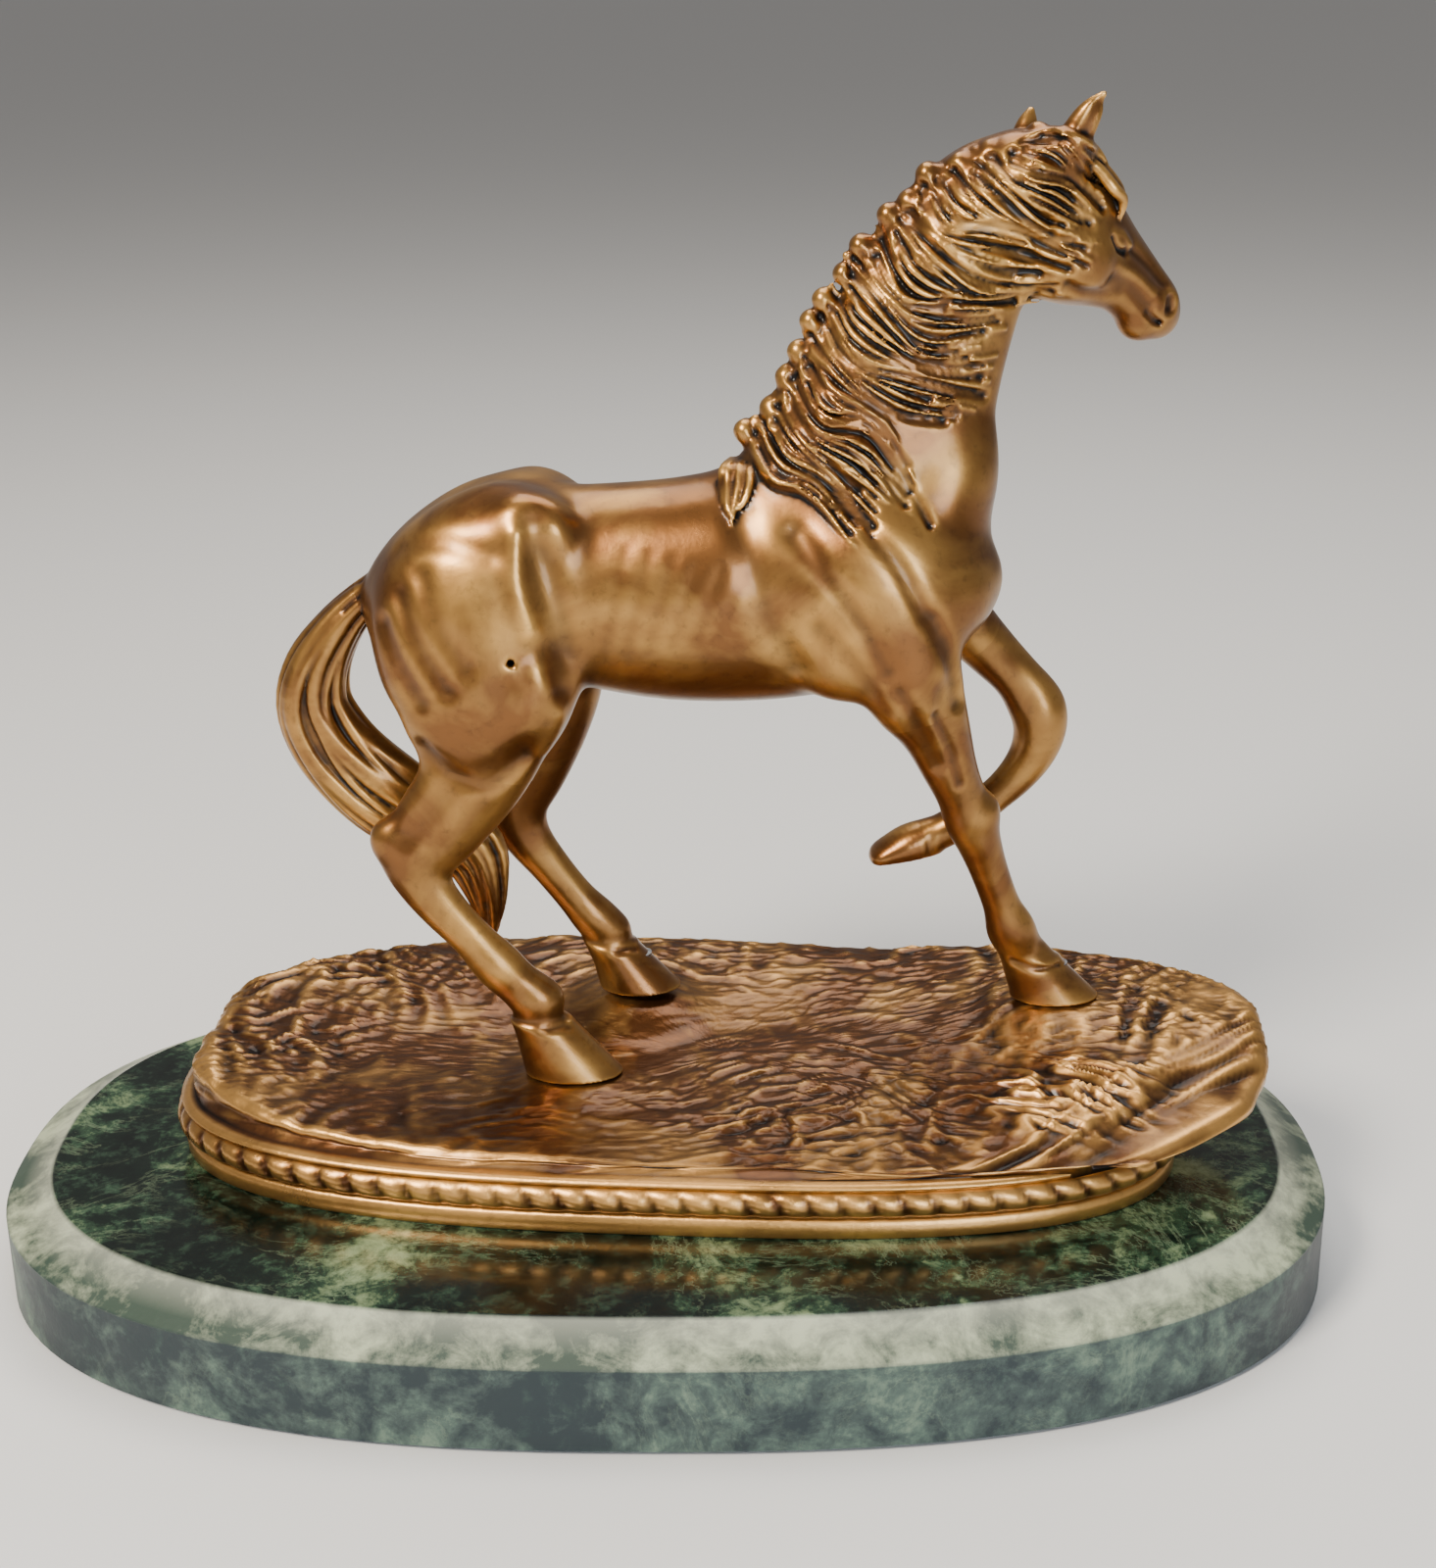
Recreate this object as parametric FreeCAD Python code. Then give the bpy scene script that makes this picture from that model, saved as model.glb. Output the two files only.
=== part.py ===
import FreeCAD, Part
import os
from math import cos, sin, pi, radians
from FreeCAD import Vector as V

# Bronze statuette of a walking horse on a carved bronze ground, bolted to a marble plinth.
# Millimetres. X runs along the horse towards its head, Y towards its left side, Z up.
# The origin is the middle of the felt's underside.

# marble plinth and the felt under it
plinth_length = 304.8
plinth_width = 177.8
plinth_thickness = 25.4
plinth_side_height = 19.3
plinth_bevel_inset = 11.0
plinth_roundness = 2.5
felt_thickness = 1.2
felt_inset = 5.0

# ground casting: an open-bottomed shell
ground_length = 231.0
ground_width = 100.0
ground_roundness = 2.8
ground_turn = -3.6
ground_x = 3.0
ground_y = 2.5
ground_wall = 3.2
crown_length = 249.0
crown_width = 97.0
crown_x = 14.5
crown_y = 4.0
crown_flare_height = 22.0
crown_height = 36.0
rope_radius = 3.2
rope_strand_count = 84
rope_strand_slant = 35.0
rope_strand_groove = 0.9
foot_band_height = 4.6

# hooves that stand on the ground: centre x, y, height above the marble, half length, half width
right_fore_hoof = (92.0, 12.0, 28.9, 10.5, 7.0)
right_hind_hoof = (-20.0, -6.0, 18.6, 12.0, 7.5)
left_hind_hoof = (-6.0, 24.0, 26.2, 9.5, 7.0)
hoof_rest_margin = 2.0

# hoof studs with a washer and nut under the ground's skin
stud_radius = 2.5
stud_in_hoof = 9.0
hoof_boss_radius = 9.0
hoof_boss_below_wall = 5.3
nut_across_flats = 8.0
nut_height = 4.0
washer_radius = 5.0
washer_thickness = 1.0
washer_clearance = 0.15
thread_clearance = 0.06

# bolts that hold the ground casting down on the marble
tie_bolt_radius = 3.0
tie_bolt_spacing = 150.0
tie_bolt_grip = 9.0
tie_boss_radius = 8.0
tie_head_across_flats = 10.0
tie_head_height = 4.0
tie_washer_radius = 9.0
tie_washer_thickness = 1.6
tie_washer_clearance = 0.2
counterbore_clearance = 1.5
counterbore_cover = 1.5
bolt_clearance = 0.5

# dowels across the joints between the castings
neck_dowel_radius = 3.0
neck_dowel_half_length = 10.0
neck_dowel_offset = 14.0
foreleg_dowel_radius = 2.0
foreleg_dowel_half_length = 7.0
hindleg_dowel_radius = 2.5
hindleg_dowel_half_length = 8.0
tail_dowel_radius = 1.2
tail_dowel_half_length = 4.0
dowel_clearance = 0.06

# horse
body_wall = 3.6
body_middle_y = 9.0
core_pin_radius = 0.55
core_opening_radius = 7.0
limb_root_size = 74.0

plinth_bottom = felt_thickness
plinth_top = felt_thickness + plinth_thickness
hoof_boss_depth = ground_wall + hoof_boss_below_wall

# Joint planes: a point and the way the outer casting leaves the torso, heights above the marble.
neck_joint = (V(44, 9, 151.4), V(0.42, 0, 0.91))
right_foreleg_joint = (V(59.8, -1, 104.6), V(0.3, 0.1, -0.95))
left_foreleg_joint = (V(71.5, 20.3, 115.4), V(0.6, 0.4, -0.69))
right_hind_joint = (V(-39.0, -4.5, 93.0), V(-0.22, 0, -0.975))
left_hind_joint = (V(-28.3, 21.5, 90.6), V(-0.22, 0, -0.975))
tail_joint = (V(-65.0, 9.6, 126.6), V(-0.95, 0, -0.3))


def at(x, y, height):
    """A point given by its height above the marble."""
    return V(x, y, plinth_top + height)


def rim_point(t, length, width, roundness, turn):
    """Point at angle t on an outline between an ellipse and a rectangle, about its middle."""
    reach = (abs(cos(t)) ** roundness + abs(sin(t)) ** roundness) ** (-1 / roundness)
    px = cos(t) * reach * length / 2
    py = sin(t) * reach * width / 2
    a = radians(turn)
    return V(px * cos(a) - py * sin(a), px * sin(a) + py * cos(a), 0)


def superellipse(length, width, roundness, x, y, z, turn=0.0):
    """Closed outline between an ellipse and a rectangle."""
    points = []
    for k in range(48):
        points.append(V(x, y, z) + rim_point(2 * pi * k / 48, length, width, roundness, turn))
    curve = Part.BSplineCurve()
    curve.interpolate(points, PeriodicFlag=True)
    return Part.Wire([curve.toShape()])


def slab(outline, height):
    """Solid with a flat bottom made by raising an outline."""
    return Part.Face(outline).extrude(V(0, 0, height))


def ring(centre, along, half_across, half_deep):
    """Oval cross-section square to a limb; across is measured level, deep in the other direction."""
    n = V(along)
    n.normalize()
    across = V(0, 0, 1).cross(n)
    if across.Length < 0.02 or abs(n.y) < 0.5:
        across = V(0, 1, 0) - n * n.y
    across.normalize()
    deep = n.cross(across)
    points = []
    for k in range(12):
        t = 2 * pi * k / 12
        points.append(centre + across * (half_across * cos(t)) + deep * (half_deep * sin(t)))
    curve = Part.BSplineCurve()
    curve.interpolate(points, PeriodicFlag=True)
    return Part.Wire([curve.toShape()])


def limb(stations):
    """Solid through oval sections; each is x, y, height, half across, half deep."""
    centres = [at(*s[:3]) for s in stations]
    rings = []
    for k, s in enumerate(stations):
        before = centres[max(k - 1, 0)]
        after = centres[min(k + 1, len(centres) - 1)]
        rings.append(ring(centres[k], after - before, s[3], s[4]))
    return Part.makeLoft(rings, True, False)


def beyond(joint, gap=0.0):
    """Large block on the outer side of a joint plane."""
    point, normal = joint
    n = V(normal)
    n.normalize()
    block = Part.makeBox(400, 400, 400, V(-200, -200, 0))
    block.Placement = FreeCAD.Placement(at(*point) + n * gap, FreeCAD.Rotation(V(0, 0, 1), n))
    return block


def inside(joint):
    """Block on the torso's side of a joint plane, just large enough to hold a limb's root."""
    point, normal = joint
    n = V(normal)
    n.normalize()
    block = Part.makeBox(limb_root_size, limb_root_size, limb_root_size,
                         V(-limb_root_size / 2, -limb_root_size / 2, 0))
    block.Placement = FreeCAD.Placement(at(*point), FreeCAD.Rotation(V(0, 0, 1), n * -1))
    return block


def rod(point, direction, radius, start, end):
    """Round bar along a direction, from start to end measured from the point."""
    n = V(direction)
    n.normalize()
    return Part.makeCylinder(radius, end - start, point + n * start, n)


def hexagon(x, y, z, across_flats, height):
    """Hexagonal nut or bolt head standing on a level."""
    corner = across_flats / 2 / cos(pi / 6)
    points = [V(x + corner * cos(k * pi / 3), y + corner * sin(k * pi / 3), z) for k in range(7)]
    return Part.Face(Part.makePolygon(points)).extrude(V(0, 0, height))


def save(name, shape):
    """Write one node; a group of identical pieces is one compound."""
    shape.exportStep("parts/" + name + ".step")


# ---- plinth ----

def tie_points():
    """Where the two tie bolts stand, on the ground casting's long axis."""
    a = radians(ground_turn)
    half = tie_bolt_spacing / 2
    return [(ground_x + k * half * cos(a), ground_y + k * half * sin(a)) for k in (-1, 1)]


def counterbore_depth():
    return tie_head_height + tie_washer_thickness + counterbore_cover


def felt_pad():
    pad = slab(superellipse(plinth_length - 2 * felt_inset, plinth_width - 2 * felt_inset,
                            plinth_roundness, 0, 0, 0), felt_thickness)
    return pad


def marble_plinth():
    side = slab(superellipse(plinth_length, plinth_width, plinth_roundness, 0, 0, plinth_bottom),
                plinth_side_height)
    edge = superellipse(plinth_length, plinth_width, plinth_roundness,
                        0, 0, plinth_bottom + plinth_side_height)
    top = superellipse(plinth_length - 2 * plinth_bevel_inset, plinth_width - 2 * plinth_bevel_inset,
                       plinth_roundness, 0, 0, plinth_top)
    stone = side.fuse(Part.makeLoft([edge, top], True, True))
    for x, y in tie_points():
        bore = tie_bolt_radius + bolt_clearance
        stone = stone.cut(rod(V(x, y, 0), V(0, 0, 1), bore, 0, plinth_top + 1))
        wide = tie_washer_radius + counterbore_clearance
        stone = stone.cut(rod(V(x, y, plinth_bottom), V(0, 0, 1), wide, 0, counterbore_depth()))
    return stone


def tie_bolts():
    bolts = []
    seat = plinth_bottom + counterbore_depth()
    for x, y in tie_points():
        under_head = seat - tie_washer_thickness
        head = hexagon(x, y, under_head - tie_head_height, tie_head_across_flats, tie_head_height)
        shank = rod(V(x, y, 0), V(0, 0, 1), tie_bolt_radius, under_head - 1, plinth_top + tie_bolt_grip)
        bolts.append(head.fuse(shank))
    return Part.makeCompound(bolts)


def tie_washers():
    washers = []
    level = plinth_bottom + counterbore_depth() - tie_washer_thickness
    for x, y in tie_points():
        disc = rod(V(x, y, level), V(0, 0, 1), tie_washer_radius, 0, tie_washer_thickness)
        hole = rod(V(x, y, level), V(0, 0, 1), tie_bolt_radius + tie_washer_clearance, -1,
                   tie_washer_thickness + 1)
        washers.append(disc.cut(hole))
    return Part.makeCompound(washers)


# ---- ground casting ----

def air_above_ground(drop=0.0):
    """Everything above the uneven top of the ground, lowered by drop for the inside of the shell."""
    xs = (-135, -90, -55, -20, 15, 50, 85, 115, 155)
    ys = (-62, -40, -15, 10, 35, 66)
    heights = ((17, 16.5, 15.5, 14.8, 13.4, 13.6, 14.8, 18, 22),
               (18, 17.0, 16.0, 15.6, 14.6, 15.2, 17.0, 22, 26),
               (20, 19.0, 17.5, 16.6, 17.0, 18.0, 21.0, 26, 29),
               (22, 21.0, 19.0, 18.8, 20.0, 22.0, 26.0, 28, 30),
               (23, 24.0, 24.0, 24.8, 24.6, 25.0, 27.0, 28, 28),
               (22, 24.0, 26.0, 27.0, 26.0, 24.0, 27.0, 28, 26))
    grid = [[at(x, y, h - drop) for x, h in zip(xs, row)] for y, row in zip(ys, heights)]
    surface = Part.BSplineSurface()
    surface.interpolate(grid)
    return surface.toShape().extrude(V(0, 0, 80))


def ground_block(inset=0.0):
    """Foot band, rope moulding, groove and flaring crown as one solid, before the top is carved."""
    rope_low = foot_band_height + 0.6
    rope_mid = rope_low + rope_radius
    rope_high = rope_mid + rope_radius
    profile = ((0.0, 0.0), (0.0, foot_band_height), (-1.8, rope_low), (0.4, rope_low + 0.8),
               (1.4, rope_mid), (0.4, rope_high - 0.8), (-2.0, rope_high), (-2.4, rope_high + 1.2))
    if inset:
        profile = ((-2.4, -1.0), (-2.4, rope_high + 1.2))
    outlines = [superellipse(ground_length + 2 * (out - inset), ground_width + 2 * (out - inset),
                             ground_roundness, ground_x, ground_y, plinth_top + height, ground_turn)
                for out, height in profile]
    for height in (crown_flare_height, crown_height):
        outlines.append(superellipse(crown_length - 2 * inset, crown_width - 2 * inset, ground_roundness,
                                     crown_x, crown_y, plinth_top + height, ground_turn))
    return Part.makeLoft(outlines, True, True)


def rope_grooves():
    """Slanted grooves round the rope moulding."""
    middle = at(ground_x, ground_y, foot_band_height + 0.6 + rope_radius)
    size = (ground_length + 3.6, ground_width + 3.6, ground_roundness, ground_turn)
    slant = radians(rope_strand_slant)
    grooves = []
    for k in range(rope_strand_count):
        t = 2 * pi * k / rope_strand_count
        here = rim_point(t, *size)
        side = rim_point(t + 0.01, *size) - here
        side.normalize()
        way = side * sin(slant) + V(0, 0, cos(slant))
        grooves.append(rod(middle + here, way, rope_strand_groove, -rope_radius, rope_radius))
    return Part.makeCompound(grooves)


def hoof_rest(hoof):
    """Flat-topped rise that a hoof stands on."""
    x, y, height, half_length, half_width = hoof
    low = ring(at(x, y, height - 9), V(0, 0, 1), half_width + 6, half_length + 6)
    high = ring(at(x, y, height), V(0, 0, 1), half_width + hoof_rest_margin, half_length + hoof_rest_margin)
    return Part.makeLoft([low, high], True, True)


def standing_hooves():
    return (right_fore_hoof, right_hind_hoof, left_hind_hoof)


def ground_casting():
    outer = ground_block().cut(air_above_ground()).cut(rope_grooves())
    for hoof in standing_hooves():
        outer = outer.fuse(hoof_rest(hoof))
    shell = outer.cut(ground_block(ground_wall).cut(air_above_ground(ground_wall)))
    for x, y in tie_points():
        boss = rod(at(x, y, 0), V(0, 0, 1), tie_boss_radius, 0, 12.5)
        boss = boss.fuse(rod(at(x, y, 0), V(0, 0, 1), tie_boss_radius - 1, 12, 60).common(outer))
        shell = shell.fuse(boss)
        shell = shell.cut(rod(at(x, y, 0), V(0, 0, 1), tie_bolt_radius + thread_clearance,
                              -1, tie_bolt_grip + 2))
    for x, y, height, half_length, half_width in standing_hooves():
        boss = rod(at(x, y, height), V(0, 0, 1), hoof_boss_radius, -hoof_boss_depth, -1)
        shell = shell.fuse(boss.common(outer))
        shell = shell.cut(rod(at(x, y, height), V(0, 0, 1), stud_radius + bolt_clearance,
                              -hoof_boss_depth - 8, 1))
    return shell.removeSplitter()


def hoof_studs():
    studs = []
    reach = hoof_boss_depth + washer_thickness + nut_height + 1.5
    for x, y, height, half_length, half_width in standing_hooves():
        studs.append(rod(at(x, y, height), V(0, 0, 1), stud_radius, -reach, stud_in_hoof))
    return Part.makeCompound(studs)


def hoof_washers():
    washers = []
    for x, y, height, half_length, half_width in standing_hooves():
        top = at(x, y, height - hoof_boss_depth)
        disc = rod(top, V(0, 0, 1), washer_radius, -washer_thickness, 0)
        washers.append(disc.cut(rod(top, V(0, 0, 1), stud_radius + washer_clearance,
                                 -washer_thickness - 1, 1)))
    return Part.makeCompound(washers)


def hoof_nuts():
    nuts = []
    for x, y, height, half_length, half_width in standing_hooves():
        low = plinth_top + height - hoof_boss_depth - washer_thickness - nut_height
        nut = hexagon(x, y, low, nut_across_flats, nut_height)
        hole = rod(V(x, y, low), V(0, 0, 1), stud_radius + thread_clearance, -1, nut_height + 1)
        nuts.append(nut.cut(hole))
    return Part.makeCompound(nuts)


# ---- horse: the full forms, before they are parted at the joints ----

def barrel(inset=0.0):
    """Trunk from rump to chest; the inset copy is the core space inside it."""
    stations = ((-59, 128.5, 8, 6.5), (-53, 127.0, 13, 13.5), (-42, 127.6, 17, 20.5),
                (-30, 129.4, 18.5, 23.0), (-15, 130.2, 18, 23.2), (5, 129.0, 19.5, 25.4),
                (25, 131.0, 19.5, 27.0), (42, 132.6, 19, 25.4), (56, 132.4, 17.5, 19.5),
                (66, 132.0, 13, 12.5), (71.5, 132.0, 5.5, 5.0))
    if inset:
        stations = [s for s in stations if s[2] > 14]
    return limb([(x, body_middle_y, h, across - inset, deep - inset) for x, h, across, deep in stations])


def neck_form():
    return limb(((37, 9, 136, 15, 26), (44, 9, 151.4, 14, 27.5), (49.5, 9, 167.5, 11.5, 24.5),
                 (54.5, 9, 182.5, 10, 22), (60, 9.3, 194.5, 9.5, 20.5), (66.5, 10, 206, 9.5, 19),
                 (73, 11, 214, 9, 16), (77.5, 12, 219, 8, 12)))


def head_form():
    return limb(((71, 6.5, 222, 6, 7), (77, 8.5, 217.5, 9, 12.5), (84, 12, 210.5, 9, 14.5),
                 (91.5, 15.5, 202, 7.6, 12.2), (98, 19, 194.5, 5.8, 9.2),
                 (103, 21.5, 188, 6.2, 8.6), (105.5, 23, 184, 5, 6.5)))


def ears():
    near = limb(((85, 6.5, 218, 3.2, 4.4), (88.5, 6, 226, 2.6, 3.8), (92.4, 5.5, 234.4, 0.7, 0.9)))
    far = limb(((77, 14, 219, 3.0, 3.6), (78, 16, 225, 2.2, 2.8), (79.5, 17.5, 230, 0.7, 0.9)))
    return (near, far)


def mane_locks():
    """Thick locks blown forward across the near side of the neck, the forelock last."""
    locks = []
    for x, height, reach, drop in ((20, 161, 30, 14), (25, 169, 34, 14), (30, 177, 35, 15),
                                   (36, 186, 35, 18), (41, 194, 34, 20), (47, 202, 31, 23),
                                   (54, 210, 27, 26), (62, 216, 22, 26)):
        y = body_middle_y - 4
        locks.append(limb(((x, y + 2, height, 4.6, 5.5), (x + reach * 0.35, y - 5, height - drop * 0.1, 4.6, 5.0),
                           (x + reach * 0.7, y - 6.5, height - drop * 0.55, 3.5, 4.0),
                           (x + reach, y - 6, height - drop, 1.0, 1.4))))
    locks.append(limb(((78, 9, 224, 5, 4), (86, 8.5, 222, 7, 4.4), (92, 9, 216.5, 7, 3.6),
                       (96, 11, 210, 3.5, 1.6))))
    return locks


def right_foreleg_form():
    return limb(((46, 1, 147, 4, 6), (48, -2.5, 139, 7.5, 12), (51, -4.5, 127, 8.5, 14),
                 (56, -3.8, 114, 8.6, 11.4), (61.8, -0.5, 99.5, 7.2, 8.0),
                 (65, 1.5, 90.5, 6.4, 6.8), (68, 3.5, 83, 6.2, 6.3), (70.5, 5, 76.5, 6.2, 6.6),
                 (74.8, 7, 64, 5.0, 5.4), (78.4, 8.5, 53.8, 4.8, 5.2), (81.4, 10, 46, 5.8, 6.2),
                 (85, 11, 39, 5.6, 6.0)))


def left_foreleg_form():
    return limb(((50, 16, 139, 4, 6), (55, 18, 132, 7.5, 11), (62, 19, 124.5, 7.8, 9.5), (70.2, 20, 117, 6.5, 7), (76, 21, 110.6, 6, 6.2),
                 (81.6, 21.5, 104.6, 5.8, 6.0), (86.3, 22, 97.5, 6.0, 6.6), (86.6, 22, 89, 5.6, 6.2),
                 (82.5, 22, 82, 4.6, 5.2), (76, 21.5, 76, 4.4, 4.6), (70, 21, 71, 4.9, 4.8),
                 (64.5, 20.8, 67.5, 4.8, 4.4)))


def right_hind_form():
    return limb(((-33, 1, 146, 4, 6), (-34.5, -1, 138, 8.5, 15), (-37.5, -3.5, 124, 11, 20.5),
                 (-38.4, -4.4, 110, 11.2, 18.5), (-38.6, -4.5, 99, 9.5, 14),
                 (-41, -5, 90.5, 8.0, 11.8), (-48.4, -5.5, 80.4, 6.8, 10.6), (-53, -5.5, 73, 6.2, 9.2),
                 (-52, -5.5, 66.2, 5.6, 7.0), (-48, -5.6, 59.6, 5.0, 6.2), (-42, -5.8, 52.4, 4.8, 5.6),
                 (-36.6, -6, 46.2, 5.2, 5.6), (-31, -6, 40.5, 6.0, 6.2), (-27, -6, 36, 6.4, 6.8)))


def left_hind_form():
    return limb(((-30, 16, 146, 4, 6), (-31, 18.5, 138, 8.5, 15), (-31, 21, 124, 11, 20),
                 (-28.5, 21.4, 108, 10.4, 16.5), (-28, 21.5, 93, 8, 11.5),
                 (-32.5, 22, 82, 6.5, 9.4), (-35.2, 22.5, 73.5, 5.8, 8.2), (-31.5, 23, 64, 5.0, 6.6),
                 (-23, 23.4, 52.5, 4.6, 5.2), (-17.6, 23.8, 45, 5.0, 5.4), (-13, 24, 39.5, 5.6, 6.0)))


def tail_form():
    return limb(((-55, 9, 134, 4, 4.5), (-61, 9.4, 130.2, 3.6, 3.8), (-68, 10, 123.6, 3.8, 4.2),
                 (-75, 10.6, 114.6, 4.6, 6.0), (-78.2, 11, 105.4, 6.0, 8.6), (-76, 11.4, 96.4, 6.4, 10.2),
                 (-69.5, 11.6, 87.6, 6.2, 11.2), (-61.5, 11.6, 80.4, 5.4, 11.4), (-51.5, 11.6, 72.6, 4.6, 10.4),
                 (-44.5, 11.6, 64, 4.2, 8.4), (-41.6, 11.6, 54, 3.0, 5.4), (-40.4, 11.6, 45, 0.9, 1.2)))


def hoof_form(hoof, lean, height):
    """Hoof wall: flat sole, sloping up and back to the coronet."""
    x, y, sole, half_length, half_width = hoof
    low = ring(at(x, y, sole), V(0, 0, 1), half_width, half_length)
    mid = ring(at(x - lean * 0.45, y, sole + height * 0.5), V(0, 0, 1), half_width * 0.9, half_length * 0.84)
    high = ring(at(x - lean, y, sole + height), V(0, 0, 1), half_width * 0.78, half_length * 0.66)
    return Part.makeLoft([low, mid, high], True, True)


def raised_hoof():
    """Folded-back hoof of the lifted foreleg; its sole faces the tail."""
    return limb(((68, 21, 70, 4.6, 4.6), (62, 20.8, 66.4, 5.6, 5.2), (57, 20.6, 63.6, 6.2, 5.0),
                 (52, 20.4, 61.4, 6.0, 3.8), (49.6, 20.3, 60.6, 4.0, 1.8)))


def drill(shape, joint, radius, half_length, offset=0.0):
    """Blind dowel hole that crosses a joint plane square to it."""
    for hole in dowels(joint, radius + dowel_clearance, half_length + 0.5, offset):
        shape = shape.cut(hole)
    return shape


def dowels(joint, radius, half_length, offset=0.0):
    """One dowel on the joint's point, or two either side of it along the length."""
    point, normal = joint
    n = V(normal)
    n.normalize()
    lengthwise = V(0, 1, 0).cross(n)
    lengthwise.normalize()
    places = (0.0,) if not offset else (-offset, offset)
    return [rod(at(*point) + lengthwise * k, n, radius, -half_length, half_length) for k in places]


def leg(form, joint, hoof, radius, half_length):
    """Outer part of a leg below its joint, with its hoof, drilled for the dowel."""
    piece = form.cut(inside(joint)).fuse(hoof)
    return drill(piece, joint, radius, half_length)


def tap_hoof(piece, hoof):
    x, y, sole = hoof[:3]
    return piece.cut(rod(at(x, y, sole), V(0, 0, 1), stud_radius + thread_clearance, -1, stud_in_hoof + 0.5))


def right_foreleg():
    hoof = hoof_form(right_fore_hoof, 7.0, 12.5)
    piece = leg(right_foreleg_form(), right_foreleg_joint, hoof,
                foreleg_dowel_radius, foreleg_dowel_half_length)
    return tap_hoof(piece, right_fore_hoof)


def left_foreleg():
    return leg(left_foreleg_form(), left_foreleg_joint, raised_hoof(),
               foreleg_dowel_radius, foreleg_dowel_half_length)


def right_hind_leg():
    hoof = hoof_form(right_hind_hoof, 8.5, 18.0)
    piece = leg(right_hind_form(), right_hind_joint, hoof,
                hindleg_dowel_radius, hindleg_dowel_half_length)
    return tap_hoof(piece, right_hind_hoof)


def left_hind_leg():
    hoof = hoof_form(left_hind_hoof, 8.0, 14.0)
    piece = leg(left_hind_form(), left_hind_joint, hoof,
                hindleg_dowel_radius, hindleg_dowel_half_length)
    return tap_hoof(piece, left_hind_hoof)


def tail_casting():
    piece = tail_form().cut(inside(tail_joint))
    return drill(piece, tail_joint, tail_dowel_radius, tail_dowel_half_length)


def neck_and_head():
    piece = neck_form().common(beyond(neck_joint))
    for form in (head_form(),) + ears() + tuple(mane_locks()):
        piece = piece.fuse(form)
    piece = piece.common(beyond(neck_joint))
    return drill(piece, neck_joint, neck_dowel_radius, neck_dowel_half_length, neck_dowel_offset)


def torso_casting():
    body = barrel()
    for form, joint in ((right_foreleg_form(), right_foreleg_joint), (left_foreleg_form(), left_foreleg_joint),
                        (right_hind_form(), right_hind_joint), (left_hind_form(), left_hind_joint),
                        (tail_form(), tail_joint)):
        body = body.fuse(form.common(inside(joint)))
    body = body.fuse(neck_form()).cut(beyond(neck_joint))
    core = barrel(body_wall).cut(beyond(neck_joint, -neck_dowel_half_length - body_wall))
    body = body.cut(core)
    body = body.cut(rod(at(*neck_joint[0]), neck_joint[1], core_opening_radius,
                        -neck_dowel_half_length - 2 * body_wall, 1))
    body = body.cut(rod(at(-30, body_middle_y, 120), V(0, -1, 0), core_pin_radius, 0, 40))
    for joint, radius, half in ((right_foreleg_joint, foreleg_dowel_radius, foreleg_dowel_half_length),
                                (left_foreleg_joint, foreleg_dowel_radius, foreleg_dowel_half_length),
                                (right_hind_joint, hindleg_dowel_radius, hindleg_dowel_half_length),
                                (left_hind_joint, hindleg_dowel_radius, hindleg_dowel_half_length),
                                (tail_joint, tail_dowel_radius, tail_dowel_half_length)):
        body = drill(body, joint, radius, half)
    return drill(body, neck_joint, neck_dowel_radius, neck_dowel_half_length, neck_dowel_offset)


def leg_dowels(joints, radius, half_length):
    return Part.makeCompound([pin for joint in joints for pin in dowels(joint, radius, half_length)])


def main():
    os.makedirs("parts", exist_ok=True)
    save("felt_pad", felt_pad())
    save("marble_plinth", marble_plinth())
    save("tie_bolts", tie_bolts())
    save("tie_washers", tie_washers())
    save("ground_casting", ground_casting())
    save("hoof_studs", hoof_studs())
    save("hoof_washers", hoof_washers())
    save("hoof_nuts", hoof_nuts())
    save("torso_casting", torso_casting())
    save("neck_and_head", neck_and_head())
    save("right_foreleg", right_foreleg())
    save("left_foreleg", left_foreleg())
    save("right_hind_leg", right_hind_leg())
    save("left_hind_leg", left_hind_leg())
    save("tail_casting", tail_casting())
    save("neck_dowels", Part.makeCompound(dowels(neck_joint, neck_dowel_radius, neck_dowel_half_length,
                                                 neck_dowel_offset)))
    save("foreleg_dowels", leg_dowels((right_foreleg_joint, left_foreleg_joint),
                                      foreleg_dowel_radius, foreleg_dowel_half_length))
    save("hindleg_dowels", leg_dowels((right_hind_joint, left_hind_joint),
                                      hindleg_dowel_radius, hindleg_dowel_half_length))
    save("tail_dowel", leg_dowels((tail_joint,), tail_dowel_radius, tail_dowel_half_length))


main()
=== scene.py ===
import bpy
import bmesh
import numpy as np
from mathutils import Matrix, Vector


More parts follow.
